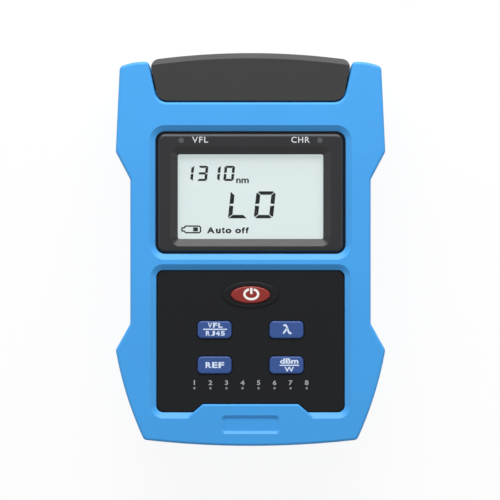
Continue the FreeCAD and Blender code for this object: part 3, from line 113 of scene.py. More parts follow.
# Strokes of the Greek letter on the wavelength key, as points across and along.
GREEK_STROKES = (
    ((10.3, -23.78), (10.52, -23.58), (10.84, -23.54), (11.1, -23.74), (11.32, -24.2), (11.6, -24.95),
     (11.9, -25.7), (12.12, -26.04), (12.42, -26.12), (12.7, -25.86)),
    ((11.36, -24.5), (10.84, -25.3), (10.16, -26.16)),
)
# Outline and charge block of the battery sign on the display, as points across and along.
BATTERY_OUTLINE = (
    (-20.35, 7.32), (-16.05, 7.32), (-15.62, 6.9), (-15.62, 5.62), (-16.05, 5.25), (-20.3, 5.25),
    (-20.7, 5.76), (-21.45, 5.82), (-21.45, 6.72), (-20.72, 6.8),
)
BATTERY_BLOCK = ((-17.95, 5.66), (-16.45, 5.66), (-16.45, 6.94), (-17.95, 6.94))
# Letters of the timer words on the display, each with its edges, and the edges of the wavelength's unit.
TIMER_LETTERS = (
    ("A", (-13.65, -11.2, 5.05, 6.95)), ("u", (-10.85, -9.3, 5.05, 6.5)), ("t", (-8.98, -8.05, 5.05, 6.95)),
    ("o", (-7.85, -5.95, 5.05, 6.5)), ("o", (-4.8, -2.95, 5.05, 6.5)), ("f", (-2.75, -1.75, 5.05, 6.95)),
    ("f", (-1.55, -0.55, 5.05, 6.95)),
)
UNIT_EDGES = (-4.5, -0.5, 20.75, 22.2)
# Rows of figures on the display: name, signs, then left side, foot, width, height, pitch, upright bar and
# level bar, then half the gap at a corner as a share of an upright bar.
FIGURE_ROWS = (
    ("wavelength_figures", "1310", (-21.06, 21.43, 3.25, 4.76, 4.17, 0.84, 0.68), 0.05),
    ("level_figures", "L0", (-7.06, 9.75, 6.05, 8.45, 8.05, 1.3, 1.08), 0.11),
)
# Bars that each figure lights, clockwise from the top one, with the middle bar last.
LIT_BARS = {"0": "abcdef", "1": "bc", "3": "abcdg", "L": "def"}
# Figures whose outer corners are cut, and that cut as a share of the bars.
CUT_SIGNS = "03"
CORNER_CUT = 0.55
# At half height: slope of a bar's end as a share of its width, and half the gap as a share of the height.
NOTCH_SHARE = 0.15
WAIST_GAP = 0.024
# Distance of a figure one from the right side of its place.
ONE_SHIFT = 0.26 * MM
# Power sign: middle of its ring across and along, width, height and line of that ring, and the reach of the
# bar past the middle of that line. Then half the ring's opening.
POWER_SIGN = (0.25, -13.9, 5.0, 3.85, 0.72, 0.4)
SIGN_OPENING = math.radians(20)
SIGN_STEPS = 48
# Boldness of printed words, as a share of the font's size.
UNIT_WEIGHT = 0.034
TIMER_WEIGHT = 0.05
BEZEL_WEIGHT = 0.014
KEY_WEIGHT = 0.034
NUMERAL_WEIGHT = 0.026
# Steps of a letter's curves, and the distance below which its points are one, in the font's own size.
LETTER_STEPS = 5
SAME_POINT = 1e-5
# Least squared length of two summed edge normals, which keeps sharp corners of bold letters short.
SHARPEST_CORNER = 1.5
# Least share of a band's width that its corners keep.
LEAST_MITRE = 0.3
DISPLAY_CLEARANCE = 0.01 * MM

# Scales of slow changes over a surface, in waves to the metre.
TONE_SCALE = 34.0
SMUDGE_SCALE = 90.0
HAZE_SCALE = 160.0
TRACK_SCALE = 260.0
TARNISH_SCALE = 420.0
# Shares of the fine grain in a moulded skin's tone and height.
SPECK_TONE = 0.5
SPECK_HEIGHT = 0.6
COAT_ROUGHNESS = 0.12
# Tone and gloss of tarnish on metal, and the waves, wander, strength and depth of its turning marks.
TARNISH_TONE = 0.3
TARNISH_GLOSS = 0.2
RING_WAVES = 0.5
RING_WANDER = 0.4
RING_STRENGTH = 0.12
RING_DEPTH = 0.01 * MM
# Tint, bend of light, and roughness from least to most of the clear sheet.
SHEET_TINT = (0.97, 0.985, 0.98, 1.0)
SHEET_IOR = 1.13
SHEET_ROUGHNESS = (0.01, 0.04)
# Width, darkening and brightening of the board's tracks, and the strength and depth of their step.
TRACK_WIDTH = 0.03
TRACK_SHADES = (0.8, 1.7)
TRACK_STRENGTH = 0.3
TRACK_DEPTH = 0.03 * MM
BOARD_ROUGHNESS = 0.3

# Sides of a screw, and the shares of its flat crown, its rounding and the floor of its cross.
SCREW_SIDES = 32
CROWN_SHARE = 0.82
ROUNDING_SHARE = 0.3
CROSS_FLOOR_SHARE = 0.7
SCREW_SEED = 4
DOME_SEGMENTS = 24
DOME_RINGS = 12
THREAD_STEPS = 48
THREAD_CORNERS = 4

# Soft boxes: name, place, size and the setting of its power; all aim at one spot over the meter.
SOFT_BOXES = (
    ("key_light", (0.0, 0.52, 0.40), (0.7, 0.5), "key_power"),
    ("left_fill", (-0.6, -0.1, 0.4), (0.4, 0.4), "fill_power"),
    ("right_fill", (0.6, -0.1, 0.4), (0.4, 0.4), "fill_power"),
)
LIGHT_AIM = (0.0, 0.0, 0.02)
FLOOR_REACH = 4.0
FLOOR_DROP = 0.05 * MM
FLOOR_WHITE = (0.97, 0.97, 0.97, 1.0)


def light_value(screen):
    """The light value of a screen value from 0 to 255."""
    part = screen / 255
    return part / 12.92 if part <= 0.04045 else ((part + 0.055) / 1.055) ** 2.4


def tint(name, description, *screen):
    """A colour whose default is given as three screen values."""
    return FloatVectorProperty(
        name=name, description=description, subtype="COLOR", size=3, min=0.0, max=1.0,
        default=tuple(light_value(value) for value in screen)
    )


def length(name, description, millimetres):
    return FloatProperty(
        name=name, description=description, subtype="DISTANCE", unit="LENGTH",
        precision=5, default=millimetres * MM
    )


def factor(name, description, default, most=1.0):
    return FloatProperty(
        name=name, description=description, subtype="FACTOR", default=default, min=0.0, max=most
    )


def angle(name, description, degrees):
    return FloatProperty(
        name=name, description=description, subtype="ANGLE", unit="ROTATION", default=math.radians(degrees)
    )


class MeterColours(bpy.types.PropertyGroup):
    """Colours of the meter's finishes."""

    case: tint("Case", "Moulded case", 65, 160, 232)
    cover: tint("Cover", "Flip cover", 34, 34, 35)
    bezel: tint("Bezel", "Frame round the display", 17, 18, 21)
    panel: tint("Panel", "Keypad panel and port plate", 20, 21, 23)
    keys: tint("Keys", "Function keys", 46, 78, 142)
    power_key: tint("Power key", "Oval power key", 138, 36, 30)
    switches: tint("Switches", "Key switches and their plungers", 30, 30, 32)
    # The display's sheet is kept dark, and most of its brightness is a glow: partly its backlight, partly
    # painted light that fills the shade the bezel casts on the sheet.
    display: tint("Display", "Sheet of the display", 133, 139, 139)
    display_glow_and_painted_fill: tint("Display light", "Light behind that sheet", 189, 198, 199)
    digits: tint("Digits", "Dark bars of the display", 9, 11, 12)
    soft_digits: tint("Soft digits", "Unit on the display", 66, 74, 76)
    panel_print: tint("Panel print", "Words on the bezel and the panel", 206, 210, 214)
    key_print: tint("Key print", "Words on the function keys", 220, 234, 255)
    power_print: tint("Power print", "Sign on the power key", 246, 244, 242)
    numerals: tint("Numerals", "Wire numbers on the panel", 165, 168, 172)
    lights: tint("Lights", "Unlit wire map lights", 122, 124, 128)
    lens: tint("Lens", "Smoked lenses in the bezel", 62, 64, 68)
    nickel: tint("Nickel", "Plated optical ports", 205, 203, 196)
    steel: tint("Steel", "Screws, hinge pin and socket sleeve", 176, 178, 182)
    brass: tint("Brass", "Laser module", 196, 160, 84)
    gold: tint("Gold", "Contacts and detector can", 226, 184, 92)
    board: tint("Board", "Lacquer of the main board", 20, 84, 46)
    socket: tint("Socket", "Network socket", 24, 24, 26)
    white: tint("White", "Display frame, backlight and light chips", 232, 232, 228)
    rubber: tint("Rubber", "Contact strip", 150, 152, 156)
    cell: tint("Cell", "Wrap of the battery cell", 186, 190, 194)
    foam: tint("Foam", "Pad under the battery cell", 40, 40, 42)


class MeterGrain(bpy.types.PropertyGroup):
    """Fine texture of the pieces."""

    case_grain: length("Case grain", "Size of a dimple on the case", 0.34)
    cover_grain: length("Cover grain", "Size of a dimple on the flip cover", 0.28)
    panel_grain: length("Panel grain", "Size of a dimple on the panels", 0.22)
    key_grain: length("Key grain", "Size of a dimple on the keys", 0.16)
    ink_grain: length("Ink grain", "Size of a dimple in the prints", 0.2)
    dimple_depth: length("Dimple depth", "Depth of the dimples", 0.02)
    turning_step: length("Turning step", "Step of the turning marks on the ports", 0.12)


class MeterPrints(bpy.types.PropertyGroup):
    """Printed words and signs, and the dark bars of the display."""

    ink: length("Ink", "Height of a print above its face", 0.02)
    film: length("Film", "Thickness of the display's dark bars", 0.04)
    lean: angle("Lean", "Slant of the display's figures", 6)
    battery_line: length("Battery line", "Width of the battery sign's outline", 0.42)
    rule: length("Rule", "Width of the rule between two words", 0.36)
    greek_stroke: length("Greek stroke", "Width of the Greek letter's strokes", 0.54)
    letter_gap: length("Letter gap", "Gap between the letters on a key", 0.28)
    numeral_height: length("Numeral height", "Height of the wire numbers", 1.5)
    numeral_row: length("Numeral row", "Middle of the wire numbers", -41.5)
    numeral_widening: factor("Numeral widening", "Width of the wire numbers over the font's own", 1.2, 4.0)
    bezel_spacing: factor("Bezel spacing", "Spacing of the letters on the bezel", 1.15, 4.0)


class MeterFittings(bpy.types.PropertyGroup):
    """Small fittings added to the solids."""

    light_rise: length("Light rise", "Dome of a wire map light above the panel", 0.14)
    light_pitch: length("Light pitch", "Step between the wire map lights", 5.0)
    light_count: IntProperty(name="Light count", description="Wire map lights", default=8, min=1)
    light_row: length("Light row", "Middle of the wire map lights", -43.3)
    light_radius: length("Light radius", "Wire map light", 0.4)
    thread_radius: length("Thread radius", "Middle of the meter port's thread", 4.0)
    thread_pitch: length("Thread pitch", "Pitch of that thread", 0.75)
    thread_ridge: length("Thread ridge", "Size of that thread's ridge", 0.3)
    thread_length: length("Thread length", "Threaded length of the meter port", 4.6)
    thread_inset: length("Thread inset", "Bare end of the meter port", 1.0)
    head_radius: length("Head radius", "Head of a case screw", 2.2)
    head_height: length("Head height", "Height of that head", 1.8)
    shank_radius: length("Shank radius", "Shank of a case screw", 1.25)
    cross_width: length("Cross width", "Arm of the cross in a screw's head", 0.6)
    cross_reach: length("Cross reach", "Half the span of that cross", 1.3)
    cross_depth: length("Cross depth", "Depth of that cross", 0.9)


class MeterStage(bpy.types.PropertyGroup):
    """Camera, floor and light."""

    view_width: length("View width", "Width of the picture at the front face", 155.55)
    shift_across: length("Across", "Middle of the picture from the middle of the meter", -0.16)
    shift_along: length("Along", "Middle of the picture towards the flip cover", -0.16)
    lens: FloatProperty(
        name="Lens", description="Focal length", subtype="DISTANCE_CAMERA", unit="CAMERA", default=150
    )
    key_power: FloatProperty(
        name="Key power", description="Soft box at the cover end", unit="POWER", default=5.9
    )
    fill_power: FloatProperty(
        name="Fill power", description="Each soft box at the sides", unit="POWER", default=0.4
    )
    room_light: factor("Room light", "Even light of the room", 0.25)
    floor_bounce: factor("Floor bounce", "Light that comes up from below", 0.8)
    floor_clear: factor("Floor clear", "Share of the floor through which the white room shows", 0.91)


class Moulding(NamedTuple):
    """A moulded finish: its colour setting, the values of its surface and its grain setting."""

    colour: str
    roughness: float
    dimples: float
    tone: float
    shine: float
    coat: float = 0.0
    grain: str = "panel_grain"


MOULDED = {name: Moulding(*row) for name, *row in (
    ("case_blue", "case", 0.46, 0.25, 0.12, 0.4, 0.0, "case_grain"),
    ("cover_grey", "cover", 0.46, 0.4, 0.2, 0.38, 0.0, "cover_grain"),
    ("bezel_black", "bezel", 0.34, 0.12, 0.2, 0.4),
    ("panel_black", "panel", 0.44, 0.2, 0.2, 0.14),
    ("light_lens", "lights", 0.25, 0.1, 0.2, 0.5, 0.4),
    ("smoked_lens", "lens", 0.2, 0.1, 0.2, 0.5, 0.4),
    ("key_blue", "keys", 0.36, 0.15, 0.12, 0.4, 0.0, "key_grain"),
    ("key_red", "power_key", 0.3, 0.1, 0.12, 0.3, 0.1, "key_grain"),
    ("switch_black", "switches", 0.5, 0.2, 0.2, 0.3, 0.0, "key_grain"),
    ("socket_black", "socket", 0.38, 0.2, 0.2, 0.4),
    ("moulded_white", "white", 0.4, 0.2, 0.08, 0.4),
    ("contact_rubber", "rubber", 0.6, 0.3, 0.2, 0.3),
    ("cell_wrap", "cell", 0.34, 0.2, 0.15, 0.5),
    ("foam_black", "foam", 0.9, 1.0, 0.4, 0.2),
    ("display_sheet", "display", 0.6, 0.05, 0.03, 0.2),
    ("display_ink", "digits", 0.5, 0.1, 0.2, 0.2, 0.0, "ink_grain"),
    ("display_soft_ink", "soft_digits", 0.5, 0.1, 0.2, 0.2, 0.0, "ink_grain"),
    ("panel_ink", "panel_print", 0.5, 0.1, 0.1, 0.3, 0.0, "ink_grain"),
    ("numeral_ink", "numerals", 0.5, 0.1, 0.1, 0.3, 0.0, "ink_grain"),
    ("key_ink", "key_print", 0.5, 0.1, 0.1, 0.3, 0.0, "ink_grain"),
    ("power_ink", "power_print", 0.5, 0.1, 0.05, 0.3, 0.0, "ink_grain"),
)}
# Turned metal finishes: colour setting and roughness.
TURNED = {
    "port_nickel": ("nickel", 0.2),
    "contact_gold": ("gold", 0.2),
    "laser_brass": ("brass", 0.28),
    "bright_steel": ("steel", 0.28),
}
# Finishes made so far, apart from the plain ones of the same names that come with the frame.
MADE = {}


def fill(tree, node, entries):
    """Sets a node's entries to values, or links them to outputs given as (node, output) pairs."""
    for entry, value in entries.items():
        if isinstance(value, tuple) and isinstance(value[0], bpy.types.Node):
            tree.links.new(value[0].outputs[value[1]], node.inputs[entry])
        else:
            node.inputs[entry].default_value = value


def add_node(tree, kind, entries=None, **settings):
    node = tree.nodes.new(kind)
    for name, value in settings.items():
        setattr(node, name, value)
    fill(tree, node, entries or {})
    return node


def math_output(tree, operation, *values):
    node = add_node(tree, "ShaderNodeMath", dict(enumerate(values)), operation=operation)
    return node, "Value"


def noise_output(tree, place, scale, detail):
    node = add_node(tree, "ShaderNodeTexNoise", {"Vector": place, "Scale": scale, "Detail": detail})
    return node, "Fac"


def place_output(tree):
    return add_node(tree, "ShaderNodeTexCoord"), "Object"


def toned_output(tree, colour, change):
    node = add_node(tree, "ShaderNodeHueSaturation", {"Color": colour, "Value": change})
    return node, "Color"


def skin_group(name, values):
    """A shader group that turns a colour, a roughness and named values into the looks of a skin."""
    tree = bpy.data.node_groups.new(name, "ShaderNodeTree")
    entry = tree.interface.new_socket("Colour", in_out="INPUT", socket_type="NodeSocketColor")
    entry.default_value = (0.5, 0.5, 0.5, 1.0)
    for label, default in values:
        entry = tree.interface.new_socket(label, in_out="INPUT", socket_type="NodeSocketFloat")
        entry.default_value = default
    for label, kind in (("Colour", "Color"), ("Roughness", "Float"), ("Height", "Float")):
        tree.interface.new_socket(label, in_out="OUTPUT", socket_type=f"NodeSocket{kind}")
    return tree, tree.nodes.new("NodeGroupInput"), tree.nodes.new("NodeGroupOutput")


def moulded_skin_group():
    """Dimpled moulded skin with slow changes of tone and gloss."""
    name = "moulded_skin"
    if name in bpy.data.node_groups:
        return bpy.data.node_groups[name]
    tree, start, end = skin_group(
        name, (("Roughness", 0.5), ("Dimples", 3000.0), ("Tone", 0.05), ("Handling", 0.08))
    )
    place = place_output(tree)
    dimples = (start, "Dimples")
    broad = noise_output(tree, place, TONE_SCALE, 3.0)
    fine = noise_output(tree, place, dimples, 1.0)
    smudge = noise_output(tree, place, SMUDGE_SCALE, 4.0)
    pits = add_node(tree, "ShaderNodeTexVoronoi", {"Vector": place, "Scale": dimples})
    speck = math_output(tree, "MULTIPLY_ADD", fine, SPECK_TONE, -SPECK_TONE / 2)
    drift = math_output(tree, "ADD", broad, speck)
    centred = math_output(tree, "SUBTRACT", drift, 0.5)
    change = math_output(tree, "MULTIPLY_ADD", centred, (start, "Tone"), 1.0)
    rubbed = math_output(tree, "SUBTRACT", smudge, 0.5)
    fill(tree, end, {
        "Colour": toned_output(tree, (start, "Colour"), change),
        "Roughness": math_output(tree, "MULTIPLY_ADD", rubbed, (start, "Handling"), (start, "Roughness")),
        "Height": math_output(tree, "MULTIPLY_ADD", fine, SPECK_HEIGHT, (pits, "Distance")),
    })
    return tree


def turned_metal_group():
    """Plated metal with the fine rings that a lathe leaves along Y."""
    name = "turned_metal"
    if name in bpy.data.node_groups:
        return bpy.data.node_groups[name]
    tree, start, end = skin_group(name, (("Roughness", 0.3), ("Rings", 4000.0)))
    place = place_output(tree)
    rings = add_node(tree, "ShaderNodeTexWave", {
        "Vector": place, "Scale": (start, "Rings"), "Distortion": RING_WANDER,
    }, bands_direction="Y")
    tarnish = noise_output(tree, place, TARNISH_SCALE, 4.0)
    change = math_output(tree, "MULTIPLY_ADD", tarnish, TARNISH_TONE, 1.0 - TARNISH_TONE / 2)
    fill(tree, end, {
        "Colour": toned_output(tree, (start, "Colour"), change),
        "Roughness": math_output(tree, "MULTIPLY_ADD", tarnish, TARNISH_GLOSS, (start, "Roughness")),
        "Height": (rings, "Fac"),
    })
    return tree


def new_material(name):
    material = bpy.data.materials.new(name)
    material.use_nodes = True
    return material, material.node_tree, material.node_tree.nodes["Principled BSDF"]


def colour_of(name):
    return (*getattr(bpy.context.scene.meter_colours, name), 1.0)


def bump_output(tree, height, strength, depth):
    node = add_node(tree, "ShaderNodeBump", {"Strength": strength, "Distance": depth, "Height": height})
    return node, "Normal"


def moulded(name):
    """A moulded plastic, rubber or ink finish."""
    row = MOULDED[name]
    grain = bpy.context.scene.meter_grain
    material, tree, shader = new_material(name)
    skin = add_node(tree, "ShaderNodeGroup", {
        "Colour": colour_of(row.colour), "Roughness": row.roughness,
        "Dimples": 1.0 / getattr(grain, row.grain), "Tone": row.tone,
    }, node_tree=moulded_skin_group())
    fill(tree, shader, {
        "Base Color": (skin, "Colour"), "Roughness": (skin, "Roughness"),
        "Normal": bump_output(tree, (skin, "Height"), row.dimples, grain.dimple_depth),
        "Specular IOR Level": row.shine, "Coat Weight": row.coat, "Coat Roughness": COAT_ROUGHNESS,
    })
    return material


def glowing_sheet_with_painted_fill(name):
    """A pale moulded sheet that glows, partly as from a light behind it and partly as painted light that
    fills the shade cast on it.
    """
    material = moulded(name)
    tree = material.node_tree
    # The emission is painted light as well as backlight: it lifts the shade the bezel casts on the sheet.
    fill(tree, tree.nodes["Principled BSDF"], {
        "Emission Color": colour_of("display_glow_and_painted_fill"), "Emission Strength": 1.0,
    })
    return material


def turned(name):
    """A turned and plated metal finish."""
    colour, roughness = TURNED[name]
    material, tree, shader = new_material(name)
    skin = add_node(tree, "ShaderNodeGroup", {
        "Colour": colour_of(colour), "Roughness": roughness,
        "Rings": RING_WAVES / bpy.context.scene.meter_grain.turning_step,
    }, node_tree=turned_metal_group())
    fill(tree, shader, {
        "Base Color": (skin, "Colour"), "Roughness": (skin, "Roughness"), "Metallic": 1.0,
        "Normal": bump_output(tree, (skin, "Height"), RING_STRENGTH, RING_DEPTH),
    })
    return material


def clear_sheet(name):
    """Clear plastic that lets the room's light through to what is behind it."""
    material, tree, shader = new_material(name)
    least, most = SHEET_ROUGHNESS
    haze = noise_output(tree, place_output(tree), HAZE_SCALE, 3.0)
    fill(tree, shader, {
        "Roughness": math_output(tree, "MULTIPLY_ADD", haze, most - least, least),
        "Base Color": SHEET_TINT, "Transmission Weight": 1.0, "IOR": SHEET_IOR,
    })
    through = add_node(tree, "ShaderNodeBsdfTransparent", {"Color": SHEET_TINT})
    path = tree.nodes.new("ShaderNodeLightPath")
    lighting = math_output(tree, "MAXIMUM", (path, "Is Shadow Ray"), (path, "Is Diffuse Ray"))
    blend = add_node(tree, "ShaderNodeMixShader", {0: lighting, 1: (shader, "BSDF"), 2: (through, "BSDF")})
    fill(tree, tree.nodes["Material Output"], {"Surface": (blend, "Shader")})
    return material


def lacquered_board(name):
    """Green lacquer over copper tracks."""
    material, tree, shader = new_material(name)
    green = bpy.context.scene.meter_colours.board
    dark, bright = ((*[share * part for part in green], 1.0) for share in TRACK_SHADES)
    tracks = add_node(tree, "ShaderNodeTexBrick", {
        "Vector": place_output(tree), "Scale": TRACK_SCALE, "Mortar Size": TRACK_WIDTH,
        "Color1": (*green, 1.0), "Color2": dark, "Mortar": bright,
    })
    fill(tree, shader, {
        "Base Color": (tracks, "Color"), "Roughness": BOARD_ROUGHNESS,
        "Normal": bump_output(tree, (tracks, "Fac"), TRACK_STRENGTH, TRACK_DEPTH),
    })
    return material


def finish_named(name):
    """The named material, made once."""
    special = {"display_sheet": glowing_sheet_with_painted_fill, "window_clear": clear_sheet, "board_green": lacquered_board}
    if name not in MADE:
        make = special.get(name) or (turned if name in TURNED else moulded)
        MADE[name] = make(name)
    return MADE[name]


def wear(finish, *nodes):
    """Puts a finish on solids of the frame."""
    for node in nodes:
        mesh = NODES[node].data
        mesh.materials.clear()
        mesh.materials.append(finish_named(finish))


def add_piece(name, mesh, body, slot, finish=None):
    """A finished mesh as a piece that rides on a body."""
    piece = bpy.data.objects.new(name, mesh)
    bpy.context.scene.collection.objects.link(piece)
    if finish is not None:
        mesh.materials.clear()
        mesh.materials.append(finish_named(finish))
    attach(piece, body)
    return piece


def build_piece(name, build, *dress):
    """A piece whose mesh is filled by a function."""
    return add_piece(name, mesh_from(name, build), *dress)


def layer_on(node, thickness, clearance=0.0):
    """The low and the high side of a thin layer on a solid."""
    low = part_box(node)[1].z + clearance
    return low, low + thickness


def scaled(lengths):
    return tuple(value * MM for value in lengths)


def scaled_path(points):
    return [scaled(point) for point in points]


def prism(mesh, outline, span):
    """A closed upright solid over a flat outline."""
    under, over = ([mesh.verts.new((x, y, height)) for x, y in outline] for height in span)
    mesh.faces.new(under[::-1])
    mesh.faces.new(over)
    join_rings(mesh, under, over)


def join_rings(mesh, under, over):
    """Faces all round between two rings of points."""
    for place in range(len(under)):
        after = (place + 1) % len(under)
        mesh.faces.new((under[place], under[after], over[after], over[place]))


def ribbon(mesh, path, width, span, closed=False):
    """A closed upright band along a flat path."""
    points = [Vector(point) for point in path]
    last = len(points) - 1
    sides = []
    for place, point in enumerate(points):
        before = points[place - 1] if closed or place > 0 else point
        after = points[(place + 1) % len(points)] if closed or place < last else point
        into = (point - before).normalized() if point != before else (after - point).normalized()
        out = (after - point).normalized() if after != point else into
        across = Vector((-(into + out).y, (into + out).x)).normalized()
        reach = width / 2 / max(LEAST_MITRE, across.dot(Vector((-into.y, into.x))))
        sides.append((point + across * reach, point - across * reach))
    if not closed:
        prism(mesh, [left for left, right in sides][::-1] + [right for left, right in sides], span)
        return
    low, high = span
    rows = []
    for left, right in sides:
        corners = ((left, low), (right, low), (right, high), (left, high))
        rows.append([mesh.verts.new((*spot, height)) for spot, height in corners])
    for place, row in enumerate(rows):
        join_rings(mesh, row, rows[(place + 1) % len(rows)])


def mesh_from(name, build):
    """A plain mesh that build fills, with its faces pointing outwards."""
    shape = bmesh.new()
    build(shape)
    bmesh.ops.recalc_face_normals(shape, faces=shape.faces)
    mesh = bpy.data.meshes.new(name)
    shape.to_mesh(mesh)
    shape.free()
    return mesh


def mesh_of(holder):
    """The evaluated shape of an object as a plain mesh; the object is removed."""
    bpy.context.scene.collection.objects.link(holder)
    bpy.context.view_layer.update()
    evaluated = holder.evaluated_get(bpy.context.evaluated_depsgraph_get())
    mesh = bpy.data.meshes.new_from_object(evaluated)
    holder.modifiers.clear()
    bpy.data.objects.remove(holder)
    return mesh


def embolden(shape, weight):
    """Moves the outline of a flat shape outwards."""
    steps = []
    for vertex in shape.verts:
        total = Vector((0.0, 0.0, 0.0))
        for loop in vertex.link_loops:
            for side in (loop, loop.link_loop_prev):
                if side.edge.is_boundary:
                    along = side.link_loop_next.vert.co - side.vert.co
                    total += Vector((along.y, -along.x, 0.0)).normalized()
        steps.append(total * 2 / max(SHARPEST_CORNER, total.length_squared))
    for vertex, step in zip(shape.verts, steps):
        vertex.co += step * weight


def raise_flat(shape, span):
    """Makes a flat shape that faces up a closed solid between two heights."""
    low, high = span
    fronts = list(shape.faces)
    walls = [(loop.vert, loop.link_loop_next.vert) for face in fronts for loop in face.loops
             if loop.edge.is_boundary]
    over = {}
    for vertex in list(shape.verts):
        vertex.co.z = low
        over[vertex] = shape.verts.new((vertex.co.x, vertex.co.y, high))
    for face in fronts:
        shape.faces.new([over[vertex] for vertex in face.verts])
        face.normal_flip()
    for start, end in walls:
        shape.faces.new((start, end, over[end], over[start]))
    shape.normal_update()


def lettering(name, words, edges, span, weight, spacing=1.0, widen=None):
    """Printed words that fill the given edges, or stand in their middle, widened by a factor."""
    font = bpy.data.curves.new(name, "FONT")
    font.body = words
    font.space_character = spacing
    font.resolution_u = LETTER_STEPS
    font.fill_mode = "FRONT"
    mesh = mesh_of(bpy.data.objects.new(name, font))
    shape = bmesh.new()
    shape.from_mesh(mesh)
    bmesh.ops.remove_doubles(shape, verts=shape.verts, dist=SAME_POINT)
    bmesh.ops.reverse_faces(shape, faces=[face for face in shape.faces if face.normal.z < 0])
    embolden(shape, weight)
    spots = [vertex.co for vertex in shape.verts]
    first = Vector([min(spot[axis] for spot in spots) for axis in range(2)])
    size = Vector([max(spot[axis] for spot in spots) for axis in range(2)]) - first
    left, right, bottom, top = edges
    scale = Vector(((right - left) / size.x, (top - bottom) / size.y))
    if widen is not None:
        scale.x = scale.y * widen
        left = (left + right - size.x * scale.x) / 2
    for spot in spots:
        spot.x = left + (spot.x - first.x) * scale.x
        spot.y = bottom + (spot.y - first.y) * scale.y
    raise_flat(shape, span)
    shape.to_mesh(mesh)
    shape.free()
    return mesh


def set_letters(name, letters, span, weight):
    """Single letters, each with its own edges, as one thin mesh."""
    shape = bmesh.new()
    for place, (letter, edges) in enumerate(letters):
        part = lettering(f"{name}_{place}", letter, edges, span, weight)
        shape.from_mesh(part)
        bpy.data.meshes.remove(part)
    mesh = bpy.data.meshes.new(name)
    shape.to_mesh(mesh)
    shape.free()
    return mesh


def even_lettering(name, words, edges, span, weight, gap):
    """Printed words whose letters are all equally wide."""
    left, right, bottom, top = edges
    step = (right - left + gap) / len(words)
    starts = [left + place * step for place in range(len(words))]
    letters = [(letter, (start, start + step - gap, bottom, top)) for letter, start in zip(words, starts)]
    return set_letters(name, letters, span, weight)


def lit_bars(sign, width, height, upright, level, gap):
    """Outlines of the bars that a figure lights."""
    middle = height / 2
    rest = WAIST_GAP * height
    notch = rest + NOTCH_SHARE * upright
    half = level / 2
    end = width - upright - gap
    level_end = [(upright + gap, level), (gap, 0.0)]
    side_end = [(upright, level + gap), (0.0, gap)]
    if sign in CUT_SIGNS:
        across, along = CORNER_CUT * upright, CORNER_CUT * level
        level_end[1:] = [(across / 2 + gap, along / 2), (across + gap, 0.0)]
        side_end[1:] = [(across / 2, along / 2 + gap), (0.0, along + gap)]
    bar = level_end + [(width - x, y) for x, y in reversed(level_end)]
    side = side_end + [(0.0, middle - rest), (upright, middle - notch)]
    bars = {
        "a": [(x, height - y) for x, y in bar],
        "b": [(width - x, height - y) for x, y in side],
        "c": [(width - x, y) for x, y in side],
        "d": bar,
        "e": side,
        "f": [(x, height - y) for x, y in side],
        "g": [(half, middle), (level, middle + half), (end, middle + half), (end + half, middle),
              (end, middle - half), (level, middle - half)],
    }
    return [bars[name] for name in LIT_BARS[sign]]


def figure_row(mesh, signs, sizes, gap, lean, span):
    """Leaning seven-bar figures side by side."""
    left, bottom, width, height, pitch, upright, level = scaled(sizes)
    slant = math.tan(lean)
    for place, sign in enumerate(signs):
        start = left + place * pitch - (ONE_SHIFT if sign == "1" else 0.0)
        for outline in lit_bars(sign, width, height, upright, level, gap * upright):
            prism(mesh, [(start + x + y * slant, bottom + y) for x, y in outline], span)


def power_sign(mesh, span):
    """An open ring with a bar in its opening."""
    beside, centre, width, height, stroke, rise = scaled(POWER_SIGN)
    across, along = (width - stroke) / 2, (height - stroke) / 2
    sweep = 2 * math.pi - 2 * SIGN_OPENING
    turns = [math.pi / 2 + SIGN_OPENING + step * sweep / SIGN_STEPS for step in range(SIGN_STEPS + 1)]
    ring = [(beside + across * math.cos(turn), centre + along * math.sin(turn)) for turn in turns]
    ribbon(mesh, ring, stroke, span)
    ribbon(mesh, [(beside, centre), (beside, centre + along + rise)], stroke, span)


class METER_OT_case(bpy.types.Operator):
    """Gives the two shells their dimpled blue finish"""

    bl_idname = "meter.case"
    bl_label = "Dress the case"

    def execute(self, context):
        wear("case_blue", "front_shell", "rear_shell")
        return {"FINISHED"}


class METER_OT_cover(bpy.types.Operator):
    """Gives the flip cover its grey satin finish, and its pin a steel one"""

    bl_idname = "meter.cover"
    bl_label = "Dress the flip cover"

    def execute(self, context):
        wear("cover_grey", "flip_cover")
        wear("bright_steel", "hinge_pin")
        return {"FINISHED"}


class METER_OT_panels(bpy.types.Operator):
    """Gives the bezel, the keypad panel, the window and the lights their finishes"""

    bl_idname = "meter.panels"
    bl_label = "Dress the front panels"

    def execute(self, context):
        wear("bezel_black", "display_bezel")
        wear("panel_black", "keypad_panel", "port_plate")
        wear("window_clear", "display_window")
        wear("light_lens", "light_bar")
        wear("smoked_lens", "indicator_pipes")
        return {"FINISHED"}


class METER_OT_keys(bpy.types.Operator):
    """Gives the keys and their plungers their finishes"""

    bl_idname = "meter.keys"
    bl_label = "Dress the keys"

    def execute(self, context):
        wear("key_red", "power_key")
        wear("key_blue", "fault_light_key", "wavelength_key", "reference_key", "unit_key")
        wear("switch_black", *[node for node in NODES if node.endswith("_plunger")], "key_switches")
        return {"FINISHED"}


class METER_OT_ports(bpy.types.Operator):
    """Gives the optical ports and the sockets their finishes"""

    bl_idname = "meter.ports"
    bl_label = "Dress the ports"

    def execute(self, context):
        wear("port_nickel", "meter_port", "fault_light_port")
        wear("contact_gold", "socket_contacts", "photodetector")
        wear("laser_brass", "laser_module")
        wear("bright_steel", "charge_socket")
        wear("socket_black", "network_socket")
        return {"FINISHED"}


